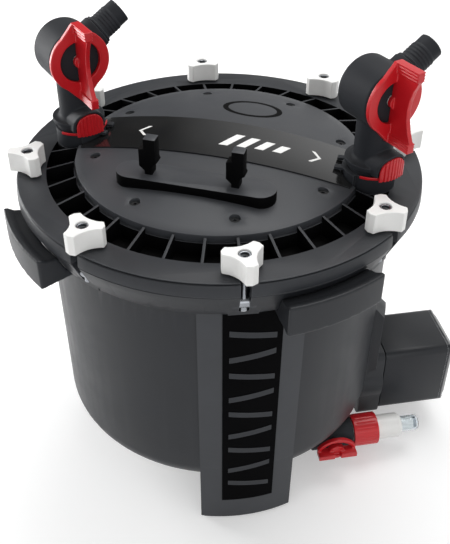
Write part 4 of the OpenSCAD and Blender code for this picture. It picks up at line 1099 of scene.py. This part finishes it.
@dataclass
class BasketStack:
    """The three media baskets with their foam, media, cover and handles.

    Attributes:
        levels: The baskets' places in the stack, from below.
        handle_cell: Size of a face on the handles, in millimetres.
    """

    levels: tuple[str, ...] = ("lower", "middle", "upper")
    handle_cell: float = 0.9

    def build(self) -> None:
        """Builds and dresses the stack."""
        for level in self.levels:
            Moulding(f"basket_{level}", BLACK, radius=0.3).build()
        Moulding("basket_cover", BLACK, radius=0.3).build()
        Moulding("lift_handles", RED, Shaping.BLENDED, self.handle_cell, 3, 0.5).build()
        paint(FOAM, "foam_inserts")
        paint(MEDIA, "media_fill")


# ---------------------------------------------------------------- studio

@dataclass(frozen=True)
class Lamp:
    """One soft area lamp.

    Attributes:
        name: The lamp's name.
        place: Where it stands, in metres.
        aim: The point that it faces.
        size: Width and height, in metres.
        power: Its power, in watts.
    """

    name: str
    place: tuple[float, float, float]
    aim: tuple[float, float, float]
    size: tuple[float, float]
    power: float

    def build(self) -> None:
        """Adds the lamp."""
        data = bpy.data.lights.new(self.name, "AREA")
        data.shape = "RECTANGLE"
        data.size, data.size_y = self.size
        data.energy = self.power
        lamp = bpy.data.objects.new(self.name, data)
        bpy.context.scene.collection.objects.link(lamp)
        lamp.location = self.place
        look = Vector(self.aim) - Vector(self.place)
        lamp.rotation_euler = look.to_track_quat("-Z", "Y").to_euler()


@dataclass
class Studio:
    """The pale floor, soft light and camera.

    Attributes:
        lens: Focal length, in millimetres on a sensor 36 mm wide.
        camera_at: Where the camera stands, in metres.
        azimuth: Turn of the camera round +Z from -Y, in degrees.
        elevation: Its tilt down, in degrees.
        roll: Its roll, in degrees.
        lamps: The area lamps.
        ambient: Strength of the world for diffuse light.
        mirrored_room: For each axis of a mirrored direction, two places on it and the strengths there.
        floor_side: Side of the floor, in metres.
        floor_grey: Linear grey of the floor.
        floor_glow: Strength of the floor's own light, where it is seen or mirrored.
    """

    lens: float = 55.97
    camera_at: tuple[float, float, float] = (0.18533, -0.63499, 0.70504)
    azimuth: float = 15.823
    elevation: float = 38.095
    roll: float = 0.237
    lamps: tuple[Lamp, ...] = (
        Lamp("left_softbox", (-1.6, 0.35, 0.5), (0.0, 0.0, 0.2), (0.7, 1.4), 30.0),
        Lamp("top_softbox", (0.2, 0.7, 2.0), (0.0, 0.0, 0.2), (1.6, 1.0), 22.0),
        Lamp("front_fill", (0.9, -2.0, 1.0), (0.1, 0.0, 0.15), (1.6, 1.0), 8.0),
    )
    ambient: float = 0.55
    mirrored_room: tuple[tuple[str, float, float, float, float], ...] = (
        ("Z", 0.50, 0.78, 1.0, 0.08),
        ("X", -0.38, 0.08, 0.03, 1.0),
    )
    floor_side: float = 14.0
    floor_grey: float = 0.80
    floor_glow: float = 0.32

    def build(self) -> None:
        """Builds the studio."""
        bpy.context.scene.view_settings.view_transform = "Standard"
        self.camera()
        self.world()
        self.floor()
        for lamp in self.lamps:
            lamp.build()

    def camera(self) -> None:
        """Places the camera."""
        turn, tilt, roll = (math.radians(v) for v in (self.azimuth, self.elevation, self.roll))
        right = Vector((math.cos(turn), math.sin(turn), 0))
        back = Vector((math.sin(turn) * math.cos(tilt), -math.cos(turn) * math.cos(tilt), math.sin(tilt)))
        up = back.cross(right)
        rolled_right = math.cos(roll) * right + math.sin(roll) * up
        rolled_up = -math.sin(roll) * right + math.cos(roll) * up
        data = bpy.data.cameras.new("camera")
        data.sensor_width = 36
        data.lens = self.lens
        data.clip_start = 0.01
        camera = bpy.data.objects.new("camera", data)
        bpy.context.scene.collection.objects.link(camera)
        pose = Matrix((rolled_right, rolled_up, back)).transposed().to_4x4()
        pose.translation = Vector(self.camera_at)
        camera.matrix_world = pose
        bpy.context.scene.camera = camera

    def world(self) -> None:
        """Makes a world that shows white and lights softly, and that glossy pieces mirror darker above and left."""
        world = bpy.data.worlds.new("studio")
        world.use_nodes = True
        bpy.context.scene.world = world
        nodes, link = world.node_tree.nodes, world.node_tree.links.new
        shown = nodes["Background"]
        shown.inputs["Color"].default_value = (1, 1, 1, 1)
        path = nodes.new("ShaderNodeLightPath")
        way = nodes.new("ShaderNodeSeparateXYZ")
        link(nodes.new("ShaderNodeTexCoord").outputs["Generated"], way.inputs["Vector"])
        mirrored = None
        for axis, near, far, dark, light in self.mirrored_room:
            share = nodes.new("ShaderNodeMapRange")
            for label, value in zip(("From Min", "From Max", "To Min", "To Max"), (near, far, dark, light)):
                share.inputs[label].default_value = value
            link(way.outputs[axis], share.inputs["Value"])
            if mirrored is None:
                mirrored = share.outputs["Result"]
                continue
            both = nodes.new("ShaderNodeMath")
            both.operation = "MULTIPLY"
            link(mirrored, both.inputs[0])
            link(share.outputs["Result"], both.inputs[1])
            mirrored = both.outputs["Value"]
        strength = self.ambient
        for kind, value in (("Is Glossy Ray", mirrored), ("Is Camera Ray", 1.0), ("Is Transmission Ray", 1.0)):
            choice = nodes.new("ShaderNodeMix")
            link(path.outputs[kind], choice.inputs["Factor"])
            for label, source in (("A", strength), ("B", value)):
                if isinstance(source, float):
                    choice.inputs[label].default_value = source
                else:
                    link(source, choice.inputs[label])
            strength = choice.outputs["Result"]
        link(strength, shown.inputs["Strength"])

    @staticmethod
    def seen_or_mirrored(
        nodes: bpy.types.Nodes, link: Callable[..., bpy.types.NodeLink], path: bpy.types.Node
    ) -> bpy.types.NodeSocket:
        """Picks out the rays that show the floor: straight, in a mirroring surface or through a clear one.

        Args:
            nodes: The tree's nodes.
            link: The tree's link call.
            path: The Light Path node.

        Returns:
            A socket that is 1 for camera, glossy and transmission rays.
        """
        total = path.outputs["Is Camera Ray"]
        for kind in ("Is Glossy Ray", "Is Transmission Ray"):
            most = nodes.new("ShaderNodeMath")
            most.operation = "MAXIMUM"
            link(total, most.inputs[0])
            link(path.outputs[kind], most.inputs[1])
            total = most.outputs["Value"]
        return total

    def floor(self) -> None:
        """Lays the pale floor."""
        Bench.start()
        bpy.ops.mesh.primitive_plane_add(size=self.floor_side, location=(0, 0, 0))
        floor = Bench.named("studio_floor")
        material = bpy.data.materials.new("studio_floor")
        material.use_nodes = True
        nodes, link = material.node_tree.nodes, material.node_tree.links.new
        shader = nodes["Principled BSDF"]
        shader.inputs["Base Color"].default_value = (self.floor_grey, self.floor_grey, self.floor_grey, 1)
        shader.inputs["Roughness"].default_value = 0.9
        shader.inputs["Specular IOR Level"].default_value = 0.0
        shader.inputs["Emission Color"].default_value = (1, 1, 1, 1)
        path = nodes.new("ShaderNodeLightPath")
        glow = nodes.new("ShaderNodeMath")
        glow.operation = "MULTIPLY"
        glow.inputs[1].default_value = self.floor_glow
        link(self.seen_or_mirrored(nodes, link, path), glow.inputs[0])
        link(glow.outputs["Value"], shader.inputs["Emission Strength"])
        floor.data.materials.append(material)


def main() -> None:
    """Builds the studio and every sub-assembly, in order."""
    logging.basicConfig(level=logging.INFO, format="%(name)s: %(message)s")
    Studio().build()
    Bucket().build()
    Lid().build()
    for index in range(1, 9):
        LidKnob(index).build()
    for side in Side:
        HoseValve(side).build()
    PurgeLine().build()
    PumpMotor().build()
    BasketStack().build()


if __name__ == "__main__":
    main()
